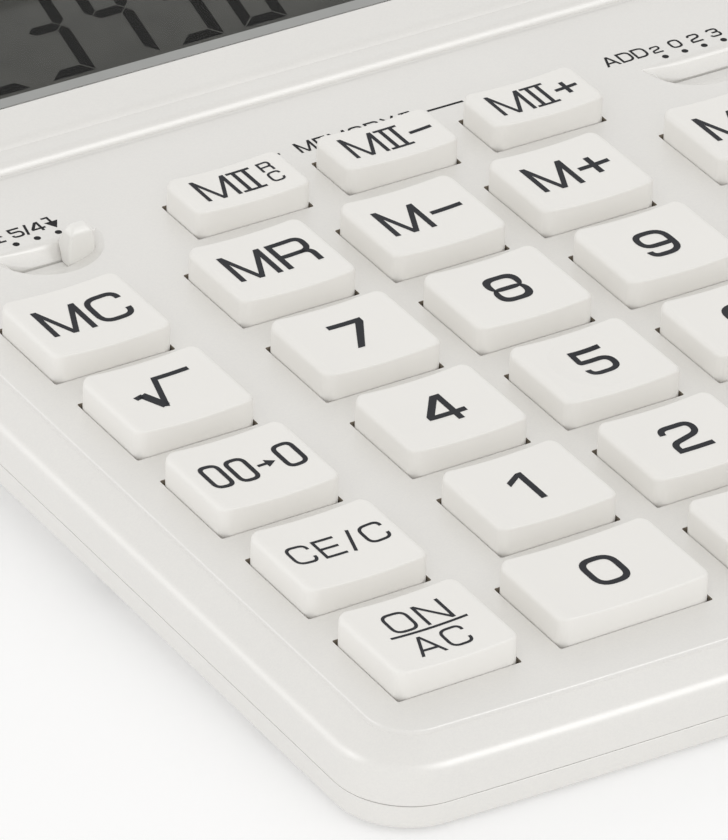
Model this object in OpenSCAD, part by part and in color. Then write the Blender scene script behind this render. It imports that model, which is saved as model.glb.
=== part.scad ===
// Desktop calculator: a flat white case with a raised display block at the rear, sprung keys on a rubber
// mat, two slide selectors, a solar panel and a button cell. Millimetres.
// Modelled in a slab frame: x to the right from the middle, y to the rear from the front wall,
// z up from the underside of the slab. stand() tips that frame back and sets it on the desk.

/* [Case] */
// Space from the outermost key holes to the side walls
side_margin = 8.95; // [8.8:0.05:12]
// Length of the display block, front to rear
block_l = 63; // [61:0.5:75]
// Thickness of the slab, from its underside to the key panel
slab_t = 11.3; // [10.8:0.1:15]
// Height of the seam between the two case halves, above the underside
seam_h = 3.5; // [3.2:0.1:4]
// Wall thickness of the case
wall = 2; // [1.6:0.1:2.4]
// Thickness of the key panel and of the display face
skin = 2; // [1.6:0.1:2.2]
// Radius of the case corners, seen from above
corner_r = 9.8; // [6:0.2:14]
// How far the middle of the front wall stands out beyond its ends
bow = 1.9; // [0.6:0.1:4]
// Width of the sloping rim round the key panel
rim_w = 3.95; // [3:0.05:4.6]
// Drop of the rim, from the panel to its outer edge
rim_drop = 2.4; // [1.4:0.1:3]
// Radius between the rim and the wall
edge_r = 1.6; // [0.8:0.1:2]
// Height of the key panel above the rim beside it
panel_step = 0.6; // [0.3:0.1:1]
// Angle at which the slab leans back on its stand
lean = 2.9; // [2:0.1:6]
// Radius of the lower edge of the case
base_r = 1.2; // [0.6:0.1:1.4]

/* [Keys] */
// Spacing of neighbouring key columns
col_pitch = 22; // [21:0.1:24]
// Extra space on both sides of the digit block
col_gap = 4.45; // [4.2:0.05:6]
// Spacing of the key rows
row_pitch = 19.58; // [19:0.02:21]
// Width of a key hole
hole_w = 16.2; // [15:0.1:17]
// Depth of a key hole
hole_d = 14.1; // [13:0.1:14.8]
// Depth of a hole in the small rear row
small_d = 8.9; // [8:0.1:9.6]
// Sideways shift of the small rear row
small_shift = 6.05; // [4:0.05:8]
// Distance from row to small row
small_pitch = 18.2; // [17.4:0.1:20]
// Extra width of the zero key, towards the left
zero_extra = 4.3; // [2:0.1:4.6]
// Distance from the front wall to the middle of the front key row
front_margin = 19; // [18:0.1:24]
// Gap between a key and its hole
key_clear = 0.35; // [0.3:0.05:0.5]
// Height of a key above the panel
key_rise = 3.8; // [3:0.1:5]
// Travel of a key
key_travel = 1.8; // [1:0.1:1.9]
// Depth of the hollow in a key top
key_dish = 0.55; // [0.3:0.05:0.7]
// Depth of the round hollow in the middle key
home_dish = 0.35; // [0.2:0.05:0.5]
// Radius of the upright edges of a key
key_r = 1.2; // [0.8:0.1:2]
// Radius of the left and right top edges of a key
key_edge = 1.4; // [0.8:0.1:1.8]
// Wall thickness of a key
key_wall = 1.3; // [1:0.1:1.8]

/* [Selectors] */
// Depth of the finger scoops below the panel
scoop_depth = 2.2; // [1.6:0.1:2.4]
// Radius of the scoops, seen from above
scoop_r = 7.7; // [7.4:0.1:9]
// Spacing of the selector positions
step = 3.03; // [2.6:0.01:3.2]
// Distance of the left selector's middle to the right of the left key column
left_shift = 6.75; // [5:0.05:8]
// Distance of the right selector's middle to the right of the gap between the last two key columns
right_shift = 0.25; // [-2:0.05:2]
// Distance from the small key row to the rear wall of the scoops
scoop_back = 4.2; // [3.8:0.1:6]
// Width of a selector knob
knob_w = 3.6; // [2.8:0.1:4]
// Depth of a selector knob, front to rear
knob_d = 2.2; // [1.8:0.1:2.4]
// Height of a selector knob above the panel
knob_rise = 2; // [1:0.1:3]

/* [Display] */
// Distance from the middle of the small key row to the start of the display block
block_gap = 20.5; // [20:0.1:24]
// Height of the display block's front ridge above the panel
ridge_h = 2; // [1.4:0.1:3]
// Distance from the start of the display block to its ridge
ridge_run = 3.7; // [3:0.1:5]
// Angle of the display face against the key panel
face_slope = 8.5; // [6:0.1:12]
// Width of the display window
window_w = 128; // [112:0.5:132]
// Height of the display window, along the face
window_l = 25.5; // [22:0.1:27]
// Distance from the ridge to the display window
window_in = 7; // [6:0.1:8]
// Width of the ledge that carries the display window
ledge = 1.6; // [1.2:0.1:2]
// Width of the solar panel
solar_w = 58; // [40:0.5:80]
// Height of the solar panel, along the face
solar_l = 11; // [8:0.1:11.5]
// Space between the display window and the solar panel
solar_gap = 4; // [3:0.1:4.4]

/* [Board] */
// Thickness of the circuit board
board_t = 1.4; // [1:0.1:1.6]
// Height of the top of the circuit board above the underside of the slab
board_z = 4.6; // [4.4:0.1:4.8]
// Thickness of the sheet of the rubber mat
mat_t = 0.8; // [0.6:0.1:1]

/* [Hidden] */
$fn = 48;
// Clearance of parts that lie in a pocket
fit = 0.15;
// Clearance of parts that slide
slide = 0.3;
// Heights in the slab frame
rim_z = slab_t - panel_step;
wall_z = slab_t - rim_drop - edge_r;
under_z = slab_t - skin;
floor_t = 1.8;
flange_t = 0.9;
flange_z = under_z - fit - flange_t;
key_top = slab_t + key_rise;
mat_z = board_z + mat_t;
board_under = board_z - board_t;
// Overall size, from the key grid and the margins round it, or from the display holder where that is wider
lcd_w = window_w + 1;
holder_wall = 1.4;
hollow_in = rim_w + 0.8;
holder_room = lcd_w + 2 * (holder_wall + slide + hollow_in);
case_w = max(5 * col_pitch + 2 * col_gap + hole_w + 2 * side_margin, holder_room);
small_y = front_margin + 4 * row_pitch + small_pitch;
block_y = small_y + block_gap;
case_l = block_y + block_l;
// Plan of the case: a bowed front between rounded corners
bow_r = (case_w * case_w / 4 + bow * bow) / (2 * bow);
corner_x = case_w / 2 - corner_r;
corner_y = bow_r - sqrt(pow(bow_r - corner_r, 2) - corner_x * corner_x);
bow_a = asin(corner_x / (bow_r - corner_r));
// Key grid
col_0 = -(5 * col_pitch + 2 * col_gap) / 2;
flange_x = 0.8;
flange_y = 0.7;
// Selectors
left_x = col(0) + left_shift;
right_x = col(4) + col_pitch / 2 + right_shift;
scoop_y = small_y + scoop_back;
scoop_ball = (scoop_r * scoop_r + scoop_depth * scoop_depth) / (2 * scoop_depth);
scoop_z = slab_t - scoop_depth;
scoop_under = scoop_z - 1.5;
left_run = 2 * step;
right_run = 5 * step;
knob_y = scoop_y - slide - fit - knob_d / 2;
stem_d = 1.2;
stem_w = 2.4;
carrier_w = 9;
carrier_d = 5.4;
carrier_top = scoop_under - fit;
carrier_low = carrier_top - 1.4;
// Display block
ridge_y = block_y + ridge_run;
ridge_z = slab_t + ridge_h;
face_end = case_l - 9;
face_top = face_z(face_end);
sunk = 0.1;
lcd_z = -skin - 0.1;
window_t = 1.3;
lcd_t = 2;
lcd_l = window_l + 2.6;
lcd_s = window_in + (window_l - lcd_l) / 2;
holder_t = 1.2;
ear_in = 20;
ear_back = 2.4;
ribbon_w = 76;
solar_s = window_in + window_l + solar_gap;
solar_t = 1.3;
// Circuit board
board_w = case_w - 20.4;
board_y0 = front_margin - 9.5;
board_y1 = block_y + 7;
lead_step = 4;
cap_d = under_z - board_z - slide;
// Screws: upright places of the case screws and of the board screws
screw_x = case_w / 2 - 5.6;
stand_w = case_w - 24;
rear_x = stand_w / 2 - 8;
rear_y = case_l - 13;
case_screw_at = [for (s = [-1, 1]) for (y = [row(3.5), row(1.5)]) [s * screw_x, y]];
rear_screw_at = [for (s = [-1, 1]) [s * rear_x, rear_y]];
gap_left = col_0 + (col_pitch + col_gap) / 2;
gap_right = col_0 + 3.5 * col_pitch + 1.5 * col_gap;
board_screw_at = [
    [gap_left, row(2.5)], [gap_left, row(0.5)], [gap_right, row(3.5)],
    [gap_right, row(0.5)], [-30, block_y - 7], [30, block_y - 7]];
boss_d = 5;
pillar_z = 4.2;
web = 1.2;
screw_d = 2.6;
head_d = 4.8;
head_t = 1.6;
small_screw_d = 1.9;
small_head_d = 3.6;
small_head_t = 1;
// Stand and feet
foot_d = 10;
foot_y = 15;
foot_in = 0.6;
foot_out = 1;
foot_x = case_w / 2 - 17;
stand_y0 = case_l - 51;
stand_y1 = case_l - 4;
rear_foot_y = case_l - 12;
rear_foot_x = stand_w / 2 - 22;
// Set-down on the desk: the lowest and the outermost points of the tipped case
front_edge = -wall_z * sin(lean);
rear_edge = case_l * cos(lean) - base_r * sin(lean);
mid_y = (front_edge + rear_edge) / 2;
lift = foot_out * cos(lean) - foot_y * sin(lean);

function face_z(y) = ridge_z + (y - ridge_y) * tan(face_slope);
function row(r) = front_margin + (4 - r) * row_pitch;
function col(c) = col_0 + c * col_pitch + (c > 0 ? col_gap : 0) + (c > 3 ? col_gap : 0);
function arc(x, y, r, a0, a1, n) = [for (k = [0:n]) [x + r * cos(a0 + (a1 - a0) * k / n),
    y + r * sin(a0 + (a1 - a0) * k / n)]];
function outline(i) = concat(
    arc(-corner_x, corner_y, corner_r - i, 180, 270 - bow_a, 9),
    [for (k = [1:13]) let (a = bow_a * (k / 7 - 1)) [(bow_r - i) * sin(a), bow_r - (bow_r - i) * cos(a)]],
    arc(corner_x, corner_y, corner_r - i, 270 + bow_a, 360, 9),
    arc(corner_x, case_l - corner_r, corner_r - i, 0, 90, 9),
    arc(-corner_x, case_l - corner_r, corner_r - i, 90, 180, 9));

white = [0.88, 0.87, 0.85];
key_white = [0.91, 0.9, 0.88];
grey = [0.5, 0.5, 0.5];
dark = [0.16, 0.17, 0.16];
steel = [0.7, 0.7, 0.72];

// Tips the slab frame back and sets it on the desk, with the origin below the middle of the case
module stand() translate([0, -mid_y, lift]) rotate([lean, 0, 0]) children();
// A frame on the display face: x across, y up the face from the ridge, z out of the face
module face() translate([0, ridge_y, ridge_z]) rotate([face_slope, 0, 0]) children();
module box(x0, x1, y0, y1, z0, z1) translate([x0, y0, z0]) cube([x1 - x0, y1 - y0, z1 - z0]);
module post(x, y, d, z0, z1) translate([x, y, z0]) cylinder(h = z1 - z0, d = d);
module plan(i, z0, z1) translate([0, 0, z0]) linear_extrude(z1 - z0) polygon(outline(i));
// A profile of points (y, z), drawn out from x0 to x1
module section(points, x0, x1) translate([x0, 0, 0]) rotate([90, 0, 90]) linear_extrude(x1 - x0)
    polygon(points);
// An upright block with rounded corners
module pad(x, y, w, d, r, z0, z1) {
    box(x - w / 2 + r, x + w / 2 - r, y - d / 2, y + d / 2, z0, z1);
    box(x - w / 2, x + w / 2, y - d / 2 + r, y + d / 2 - r, z0, z1);
    for (i = [-1, 1], j = [-1, 1]) post(x + i * (w / 2 - r), y + j * (d / 2 - r), 2 * r, z0, z1);
}

// Outer shapes of the case halves
module slab_top() {
    hull() {
        plan(0, seam_h, wall_z);
        for (a = [25, 55]) {
            z = wall_z + edge_r * sin(a);
            plan(edge_r * (1 - cos(a)), z - 0.02, z);
        }
        plan(rim_w, rim_z - 0.02, rim_z);
    }
    intersection() {
        plan(rim_w, rim_z - 0.4, slab_t);
        box(-case_w, case_w, -1, block_y - 0.5, 0, slab_t);
    }
}
module block_section(i) section([
    [block_y, seam_h + i], [block_y, slab_t + 0.35 - i], [block_y + 0.35, slab_t + 0.7 - i],
    [ridge_y - 0.5, ridge_z - 0.2 - i], [ridge_y + 0.6, ridge_z + 0.6 * tan(face_slope) - i],
    [face_end, face_top - i], [face_end + 3.4, face_top + 0.1 - i], [face_end + 6.2, face_top - 0.6 - i],
    [case_l, face_top - 1.6 - i], [case_l, seam_h + i]], -case_w, case_w);
module display_block() hull() for (l = [[0, 3.4], [1.2, 1.2], [3.4, 0]]) intersection() {
    plan(l[1], seam_h, face_top + 5);
    block_section(l[0]);
}
module case_hollow() {
    low = -lcd_z / cos(face_slope);
    plan(wall, seam_h - 1, slab_t - rim_drop - skin - 0.2);
    intersection() {
        plan(hollow_in, seam_h - 1, face_top);
        section([
            [-1, seam_h - 1], [-1, under_z], [block_y + skin * 0.6, under_z],
            [ridge_y + skin * 0.4, face_z(ridge_y + skin * 0.4) - low], [face_end, face_top - low],
            [face_end + 3, face_top - low - 1.2], [case_l - wall, face_top - 9], [case_l - wall, seam_h - 1]],
            -case_w, case_w);
    }
}
module key_hole(x, y, w, d) box(x - w / 2, x + w / 2, y - d / 2, y + d / 2, under_z - 1, slab_t + 1);
module key_holes() {
    for (r = [0:2], c = [0:5]) key_hole(col(c), row(r), hole_w, hole_d);
    for (c = [0, 1, 2, 3, 5]) key_hole(col(c), row(3), hole_w, hole_d);
    for (c = [0, 2, 3, 5]) key_hole(col(c), row(4), hole_w, hole_d);
    key_hole(col(1) - zero_extra / 2, row(4), hole_w + zero_extra, hole_d);
    key_hole(col(4), row(3.5), hole_w, hole_d + row_pitch);
    for (c = [1:3]) key_hole(col(c) + small_shift, small_y, hole_w, small_d);
}
// A finger scoop for a selector: half a dish that ends at an upright rear wall, and the channel of the knob
module scoop(x, run, reach) {
    intersection() {
        translate([x, scoop_y, scoop_z + scoop_ball]) {
            for (i = [-1, 1]) translate([i * reach, 0, 0]) sphere(scoop_ball, $fn = 96);
            if (reach > 0)
                rotate([0, 90, 0]) cylinder(h = 2 * reach, r = scoop_ball, center = true, $fn = 96);
        }
        box(x - 30, x + 30, scoop_y - 20, scoop_y, scoop_z - 1, slab_t + 1);
    }
    box(x - run / 2 - knob_w / 2 - slide, x + run / 2 + knob_w / 2 + slide,
        knob_y - knob_d / 2 - slide, scoop_y, scoop_z, slab_t + 1);
    box(x - run / 2 - stem_w / 2 - slide, x + run / 2 + stem_w / 2 + slide,
        knob_y - stem_d / 2 - slide, knob_y + stem_d / 2 + slide, scoop_under - 1, slab_t);
}
// Thickening below a scoop, with the two rails that guide the selector's carrier
module scoop_seat(x, run, reach) {
    w = reach + scoop_r + 1.5;
    box(x - w, x + w, scoop_y - scoop_r - 1.5, scoop_y + 3.2, scoop_under, under_z + 0.5);
    for (y = [knob_y - carrier_d / 2 - slide - 1, knob_y + carrier_d / 2 + slide])
        box(x - w, x + w, y, y + 1, carrier_low + 0.2, scoop_under + 0.5);
}
// A pocket in the display face for a pane, with an opening inside its ledge
module pocket(w, s, l, t) {
    box(-w / 2 - fit, w / 2 + fit, s - fit, s + l + fit, -t - sunk, 4);
    box(-w / 2 + ledge, w / 2 - ledge, s + ledge, s + l - ledge, -6, 4);
}
module pane(w, s, l, t) box(-w / 2, w / 2, s, s + l, -t - sunk, -sunk);
module display_pockets() face() {
    pocket(window_w, window_in, window_l, window_t);
    pocket(solar_w, solar_s, solar_l, solar_t);
}
module lcd_ears() for (i = [-1, 1])
    translate([i * (window_w / 2 - ear_in), lcd_s + lcd_l + holder_wall + ear_back, 0]) children();

module top_case() color(white) stand() difference() {
    union() {
        difference() {
            union() {
                slab_top();
                display_block();
            }
            case_hollow();
        }
        scoop_seat(left_x, left_run, 0);
        scoop_seat(right_x, right_run, (right_run - left_run) / 2);
        for (p = board_screw_at) post(p[0], p[1], boss_d, board_z, under_z);
        for (p = case_screw_at) post(p[0], p[1], boss_d + 0.8, pillar_z, slab_t - rim_drop - skin / 2);
        for (p = rear_screw_at) post(p[0], p[1], boss_d + 0.8, pillar_z, face_z(p[1]) - skin / 2);
        face() lcd_ears() post(0, 0, boss_d - 0.6, lcd_z - lcd_t, lcd_z + 0.6);
    }
    key_holes();
    scoop(left_x, left_run, 0);
    scoop(right_x, right_run, (right_run - left_run) / 2);
    display_pockets();
    for (p = board_screw_at) post(p[0], p[1], small_screw_d + 0.1, board_z - 1, under_z);
    for (p = case_screw_at) post(p[0], p[1], screw_d + 0.1, pillar_z - 1, slab_t - rim_drop - skin);
    for (p = rear_screw_at) post(p[0], p[1], screw_d + 0.1, pillar_z - 1, pillar_z + 8);
    face() lcd_ears() post(0, 0, small_screw_d + 0.1, -9, lcd_z);
}

// Stand below the rear of the slab, with its underside level with the desk
function desk_z(y) = -foot_out - (y - foot_y) * tan(lean);
module stand_block(i, x) section([
    [stand_y0 + i, floor_t + i / 4], [stand_y0 + 5 + i, desk_z(stand_y0 + 5) + foot_out + i],
    [stand_y1 - 3 - i, desk_z(stand_y1 - 3) + foot_out + i], [stand_y1 - i, floor_t + i / 4]], -x + i, x - i);
module bottom_case() color(white) stand() difference() {
    union() {
        difference() {
            union() {
                hull() {
                    plan(base_r, 0, 0.02);
                    plan(base_r * 0.3, base_r * 0.3, base_r * 0.3 + 0.02);
                    plan(0, base_r, seam_h);
                }
                stand_block(0, stand_w / 2);
                difference() {
                    plan(wall + fit, floor_t, seam_h + 1.2);
                    plan(wall + fit + 1, 0, 20);
                    for (p = case_screw_at) post(p[0], p[1], boss_d + 0.8 + 2 * slide, seam_h, 20);
                }
            }
            plan(wall + fit + 1, floor_t, 20);
            stand_block(wall, stand_w / 2);
        }
        for (p = case_screw_at) post(p[0], p[1], head_d + 3, floor_t - 0.5, pillar_z);
        for (p = rear_screw_at) post(p[0], p[1], head_d + 3, desk_z(p[1]) + foot_out + wall / 2, pillar_z);
    }
    for (p = concat(case_screw_at, rear_screw_at)) {
        post(p[0], p[1], screw_d + 0.5, -40, 20);
        post(p[0], p[1], head_d + 0.4, -40, pillar_z - web);
    }
    for (i = [-1, 1]) post(i * foot_x, foot_y, foot_d + 2 * fit, -5, foot_in);
    for (i = [-1, 1]) translate([i * rear_foot_x, rear_foot_y, desk_z(rear_foot_y)]) rotate([-lean, 0, 0])
        cylinder(h = foot_out * cos(lean) + foot_in, d = foot_d + 2 * fit);
}

module display_window() color([0.6, 0.62, 0.6, 0.6]) stand() face()
    pane(window_w, window_in, window_l, window_t);
module lcd_panel() color(dark) stand() face()
    box(-lcd_w / 2, lcd_w / 2, lcd_s, lcd_s + lcd_l, lcd_z - lcd_t, lcd_z);
// A tray that holds the display glass up against the display face, with an ear at each end
module lcd_holder() color(grey) stand() face() difference() {
    low = lcd_z - lcd_t;
    union() {
        box(-lcd_w / 2 - holder_wall, lcd_w / 2 + holder_wall, lcd_s + 4, lcd_s + lcd_l + holder_wall,
            low - holder_t, low);
        box(-lcd_w / 2 - holder_wall, lcd_w / 2 + holder_wall, lcd_s + lcd_l + fit,
            lcd_s + lcd_l + holder_wall, low - holder_t, low + lcd_t * 0.7);
        lcd_ears() box(-3.2, 3.2, -2.6, 2.8, low - holder_t, low);
    }
    lcd_ears() post(0, 0, small_screw_d + 0.5, low - 5, low + 5);
    box(-lcd_w / 2 + 8, lcd_w / 2 - 8, lcd_s + 8, lcd_s + lcd_l - 5, low - 5, low + 5);
}
module lcd_screws() color(steel) stand() face() lcd_ears() translate([0, 0, lcd_z - lcd_t - holder_t])
    small_screw(lcd_t + holder_t - 0.2);
// A screw that points up, with the underside of its head at z = 0
module small_screw(reach) difference() {
    union() {
        translate([0, 0, -small_head_t]) cylinder(h = small_head_t, d = small_head_d);
        cylinder(h = reach, d = small_screw_d);
    }
    for (a = [0, 90]) rotate([0, 0, a]) translate([-1, -0.25, -small_head_t - 1]) cube([2, 0.5, 1.5]);
}
module case_screw(reach) difference() {
    union() {
        translate([0, 0, -head_t]) cylinder(h = head_t, d = head_d);
        cylinder(h = reach, d = screw_d);
    }
    for (a = [0, 90]) rotate([0, 0, a]) translate([-1.4, -0.35, -head_t - 1]) cube([2.8, 0.7, 1.8]);
}
// A printed film from the lower edge of the display glass down to the rear edge of the board
module lcd_ribbon() color([0.55, 0.4, 0.2]) stand() {
    low = lcd_z - lcd_t;
    y1 = ridge_y + lcd_s * cos(face_slope) - low * sin(face_slope);
    z1 = ridge_z + lcd_s * sin(face_slope) + low * cos(face_slope);
    section([
        [board_y1 - 3, board_z], [board_y1 - 0.8, board_z], [y1 + 0.1, z1 - 0.6],
        [y1 + 3 * cos(face_slope), z1 + 3 * sin(face_slope) - 0.25],
        [y1 + 3 * cos(face_slope), z1 + 3 * sin(face_slope)], [y1, z1], [y1 - 0.25, z1 - 0.4],
        [board_y1 - 1.1, board_z + 0.25], [board_y1 - 3, board_z + 0.25]], -ribbon_w / 2, ribbon_w / 2);
}
module solar_panel() color([0.12, 0.09, 0.12]) stand() face() pane(solar_w, solar_s, solar_l, solar_t);
// A round wire along a row of points
module wire(points, d) {
    for (k = [0:len(points) - 2]) {
        v = points[k + 1] - points[k];
        translate(points[k]) rotate([0, acos(v[2] / norm(v)), atan2(v[1], v[0])])
            cylinder(h = norm(v), d = d);
    }
    for (k = [1:len(points) - 2]) translate(points[k]) sphere(d = d);
}
module solar_leads() color([0.7, 0.12, 0.1]) stand() for (i = [0, 1]) {
    y0 = ridge_y + (solar_s + solar_l / 2) * cos(face_slope) + (solar_t + sunk) * sin(face_slope);
    z0 = ridge_z + (solar_s + solar_l / 2) * sin(face_slope) - (solar_t + sunk) * cos(face_slope) - 0.1;
    x0 = -solar_w / 2 + lead_step * (i + 1.25);
    x1 = -ribbon_w / 2 - lead_step * (i + 2);
    y1 = board_y1 - 4;
    wire([[x0, y0, z0], [x0, y0, board_z + 2.4], [x1, y0, board_z + 2.4], [x1, y1, board_z + 2.4],
        [x1, y1, board_z]], 0.9);
}

module circuit_board() color([0.45, 0.33, 0.16]) stand() difference() {
    box(-board_w / 2, board_w / 2, board_y0, board_y1, board_under, board_z);
    for (p = board_screw_at) post(p[0], p[1], small_screw_d + 0.5, 0, 20);
}
module chip_blob() color(dark) stand() translate([0, row(0.5), board_under]) {
    translate([0, 0, -0.5]) cylinder(h = 0.5, d = 14);
    translate([0, 0, -0.9]) cylinder(h = 0.4, d1 = 9, d2 = 14);
}
module capacitor() color([0.15, 0.2, 0.35]) stand() translate([-30, block_y + 2, board_z + cap_d / 2])
    rotate([0, 90, 0]) cylinder(h = 8, d = cap_d, center = true);

// Rubber mat: a sheet on the board with one hollow dome below each key post
function posts_at() = concat(
    [for (r = [0:2], c = [0:5]) [col(c), row(r)]],
    [for (c = [0:5]) [col(c), row(3)]],
    [for (c = [0, 2, 3, 4, 5]) [col(c), row(4)]],
    [[col(1) - zero_extra / 2, row(4)]],
    [for (c = [1:3]) [col(c) + small_shift, small_y]]);
post_d = 5.1;
module rubber_keymat() color([0.75, 0.76, 0.74]) stand() difference() {
    union() {
        difference() {
            box(-board_w / 2 + 0.6, board_w / 2 - 0.6, board_y0 + 0.4, small_y + 6.4, board_z, mat_z);
            for (p = board_screw_at) post(p[0], p[1], boss_d + 2 * slide, 0, 20);
            wiper_room(left_x, left_run);
            wiper_room(right_x, right_run);
        }
        for (p = posts_at()) translate([p[0], p[1], board_z])
            cylinder(h = flange_z - board_z, d1 = 8, d2 = post_d);
    }
    for (p = posts_at()) translate([p[0], p[1], board_z]) difference() {
        translate([0, 0, -0.5]) cylinder(h = flange_z - board_z - 0.4, d1 = 7, d2 = 4.6);
        translate([0, 0, key_travel]) cylinder(h = 9, d = 3);
    }
}
module wiper_room(x, run) box(x - run / 2 - carrier_w / 2 - 1, x + run / 2 + carrier_w / 2 + 1,
    knob_y - carrier_d / 2 - 1, small_y + 20, 0, 20);

// Button cell flat on the board, between a lower plate and an upper strap
cell_d = 11.6;
cell_t = 3.05;
cell_x = 50;
cell_y = block_y - 1;
leaf = 0.3;
module button_cell() color(steel) stand()
    post(cell_x, cell_y, cell_d, board_z + leaf, board_z + leaf + cell_t);
module cell_contacts() color([0.8, 0.7, 0.4]) stand() {
    top = board_z + leaf + cell_t;
    box(cell_x - 4.5, cell_x + 4.5, cell_y - 4.5, cell_y + 4.5, board_z, board_z + leaf);
    leg = cell_x + cell_d / 2 + 0.5;
    box(cell_x - 3, leg + leaf, cell_y - 2.5, cell_y + 2.5, top, top + leaf);
    box(leg, leg + leaf, cell_y - 2.5, cell_y + 2.5, board_z, top + leaf);
    box(leg, leg + 2.5, cell_y - 2.5, cell_y + 2.5, board_z, board_z + leaf);
}

module bar(x, w, d, z0, z1) box(x - w / 2, x + w / 2, knob_y - d / 2, knob_y + d / 2, z0, z1);
// A selector: knob, stem through the slot and carrier below the panel
module selector(x) {
    low = scoop_z + fit;
    top = slab_t + knob_rise;
    y0 = knob_y - knob_d / 2;
    y1 = knob_y + knob_d / 2;
    section([[y0, low], [y0, slab_t], [y0 + 0.4, top - 0.8], [knob_y - 0.1, top - 0.2], [y1 - 0.3, top],
        [y1, top - 0.4], [y1, low]], x - knob_w / 2, x + knob_w / 2);
    bar(x, stem_w, stem_d, carrier_top - 0.1, low + 0.1);
    bar(x, carrier_w, carrier_d, carrier_low, carrier_top);
}
// The spring contact below a selector's carrier, with two fingers that reach down to the board
module wiper(x) {
    bar(x, 7.2, 4, carrier_low - leaf, carrier_low);
    for (i = [-1, 1]) bar(x + i * 2.4, 1.2, 3.2, board_z + 0.1, carrier_low - leaf);
}
module rounding_slider() color(key_white) stand() selector(left_x + left_run / 2);
module rounding_wiper() color([0.8, 0.7, 0.4]) stand() wiper(left_x + left_run / 2);
module decimal_slider() color(key_white) stand() selector(right_x + right_run / 2);
module decimal_wiper() color([0.8, 0.7, 0.4]) stand() wiper(right_x + right_run / 2);

module case_screws() color(steel) stand() {
    for (p = case_screw_at) translate([p[0], p[1], pillar_z - web]) case_screw(3);
    for (p = rear_screw_at) translate([p[0], p[1], pillar_z - web]) case_screw(7);
}
module board_screws() color(steel) stand()
    for (p = board_screw_at) translate([p[0], p[1], board_under]) small_screw(4.6);
module rubber_feet() color(dark) stand() {
    for (i = [-1, 1]) intersection() {
        post(i * foot_x, foot_y, foot_d, -5, foot_in);
        translate([i * foot_x, foot_y, desk_z(foot_y)]) rotate([-lean, 0, 0]) box(-20, 20, -20, 20, 0, 20);
    }
    for (i = [-1, 1]) translate([i * rear_foot_x, rear_foot_y, desk_z(rear_foot_y)]) rotate([-lean, 0, 0])
        cylinder(h = foot_out * cos(lean) + foot_in, d = foot_d);
}

// A hollow key with a dished top, a retaining flange below the panel and one or two posts on the mat.
// home is the depth of a round hollow in the top, which marks the middle key for the finger.
module key(x, y, w, d, posts = [0], home = 0) color(key_white) stand() {
    kw = w - 2 * key_clear;
    kd = d - 2 * key_clear;
    half = kw / 2 - key_edge / 2;
    dish_r = (half * half + key_dish * key_dish) / (2 * key_dish);
    difference() {
        union() {
            intersection() {
                pad(x, y, kw, kd, key_r, flange_z, key_top + 1);
                union() {
                    box(x - kw / 2, x + kw / 2, y - d, y + d, flange_z, key_top - key_edge);
                    box(x - kw / 2 + key_edge, x + kw / 2 - key_edge, y - d, y + d, flange_z, key_top);
                    for (i = [-1, 1]) translate([x + i * (kw / 2 - key_edge), y, key_top - key_edge])
                        rotate([90, 0, 0]) cylinder(h = 2 * d, r = key_edge, center = true);
                }
            }
            box(x - w / 2 - flange_x, x + w / 2 + flange_x, y - d / 2 - flange_y, y + d / 2 + flange_y,
                flange_z, flange_z + flange_t);
        }
        translate([x, y, key_top - key_dish + dish_r]) rotate([90, 0, 0])
            cylinder(h = 2 * d, r = dish_r, center = true, $fn = 180);
        if (home > 0) translate([x, y, key_top - key_dish - home]) cylinder(h = 3, d1 = 7, d2 = 7 + 6 / home);
        box(x - kw / 2 + key_wall, x + kw / 2 - key_wall, y - kd / 2 + key_wall, y + kd / 2 - key_wall,
            flange_z - 1, key_top - key_dish - key_wall);
    }
    for (p = posts) post(x, y + p, post_d, flange_z, key_top - key_dish - key_wall);
}
module grid_key(c, r) key(col(c), row(r), hole_w, hole_d);
module small_key(c) key(col(c) + small_shift, small_y, hole_w, small_d);

module key_m2_recall() small_key(1);
module key_m2_minus() small_key(2);
module key_m2_plus() small_key(3);
module key_mc() grid_key(0, 0);
module key_mr() grid_key(1, 0);
module key_m_minus() grid_key(2, 0);
module key_m_plus() grid_key(3, 0);
module key_mark_up() grid_key(4, 0);
module key_grand_total() grid_key(5, 0);
module key_root() grid_key(0, 1);
module key_7() grid_key(1, 1);
module key_8() grid_key(2, 1);
module key_9() grid_key(3, 1);
module key_percent() grid_key(4, 1);
module key_sign() grid_key(5, 1);
module key_back() grid_key(0, 2);
module key_4() grid_key(1, 2);
module key_5() key(col(2), row(2), hole_w, hole_d, home = home_dish);
module key_6() grid_key(3, 2);
module key_times() grid_key(4, 2);
module key_divide() grid_key(5, 2);
module key_clear_entry() grid_key(0, 3);
module key_1() grid_key(1, 3);
module key_2() grid_key(2, 3);
module key_3() grid_key(3, 3);
module key_minus() grid_key(5, 3);
module key_on() grid_key(0, 4);
module key_00() grid_key(2, 4);
module key_point() grid_key(3, 4);
module key_equals() grid_key(5, 4);
module key_0() key(col(1) - zero_extra / 2, row(4), hole_w + zero_extra, hole_d);
module key_plus() key(col(4), row(3.5), hole_w, hole_d + row_pitch, [-row_pitch / 2, row_pitch / 2]);

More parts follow.
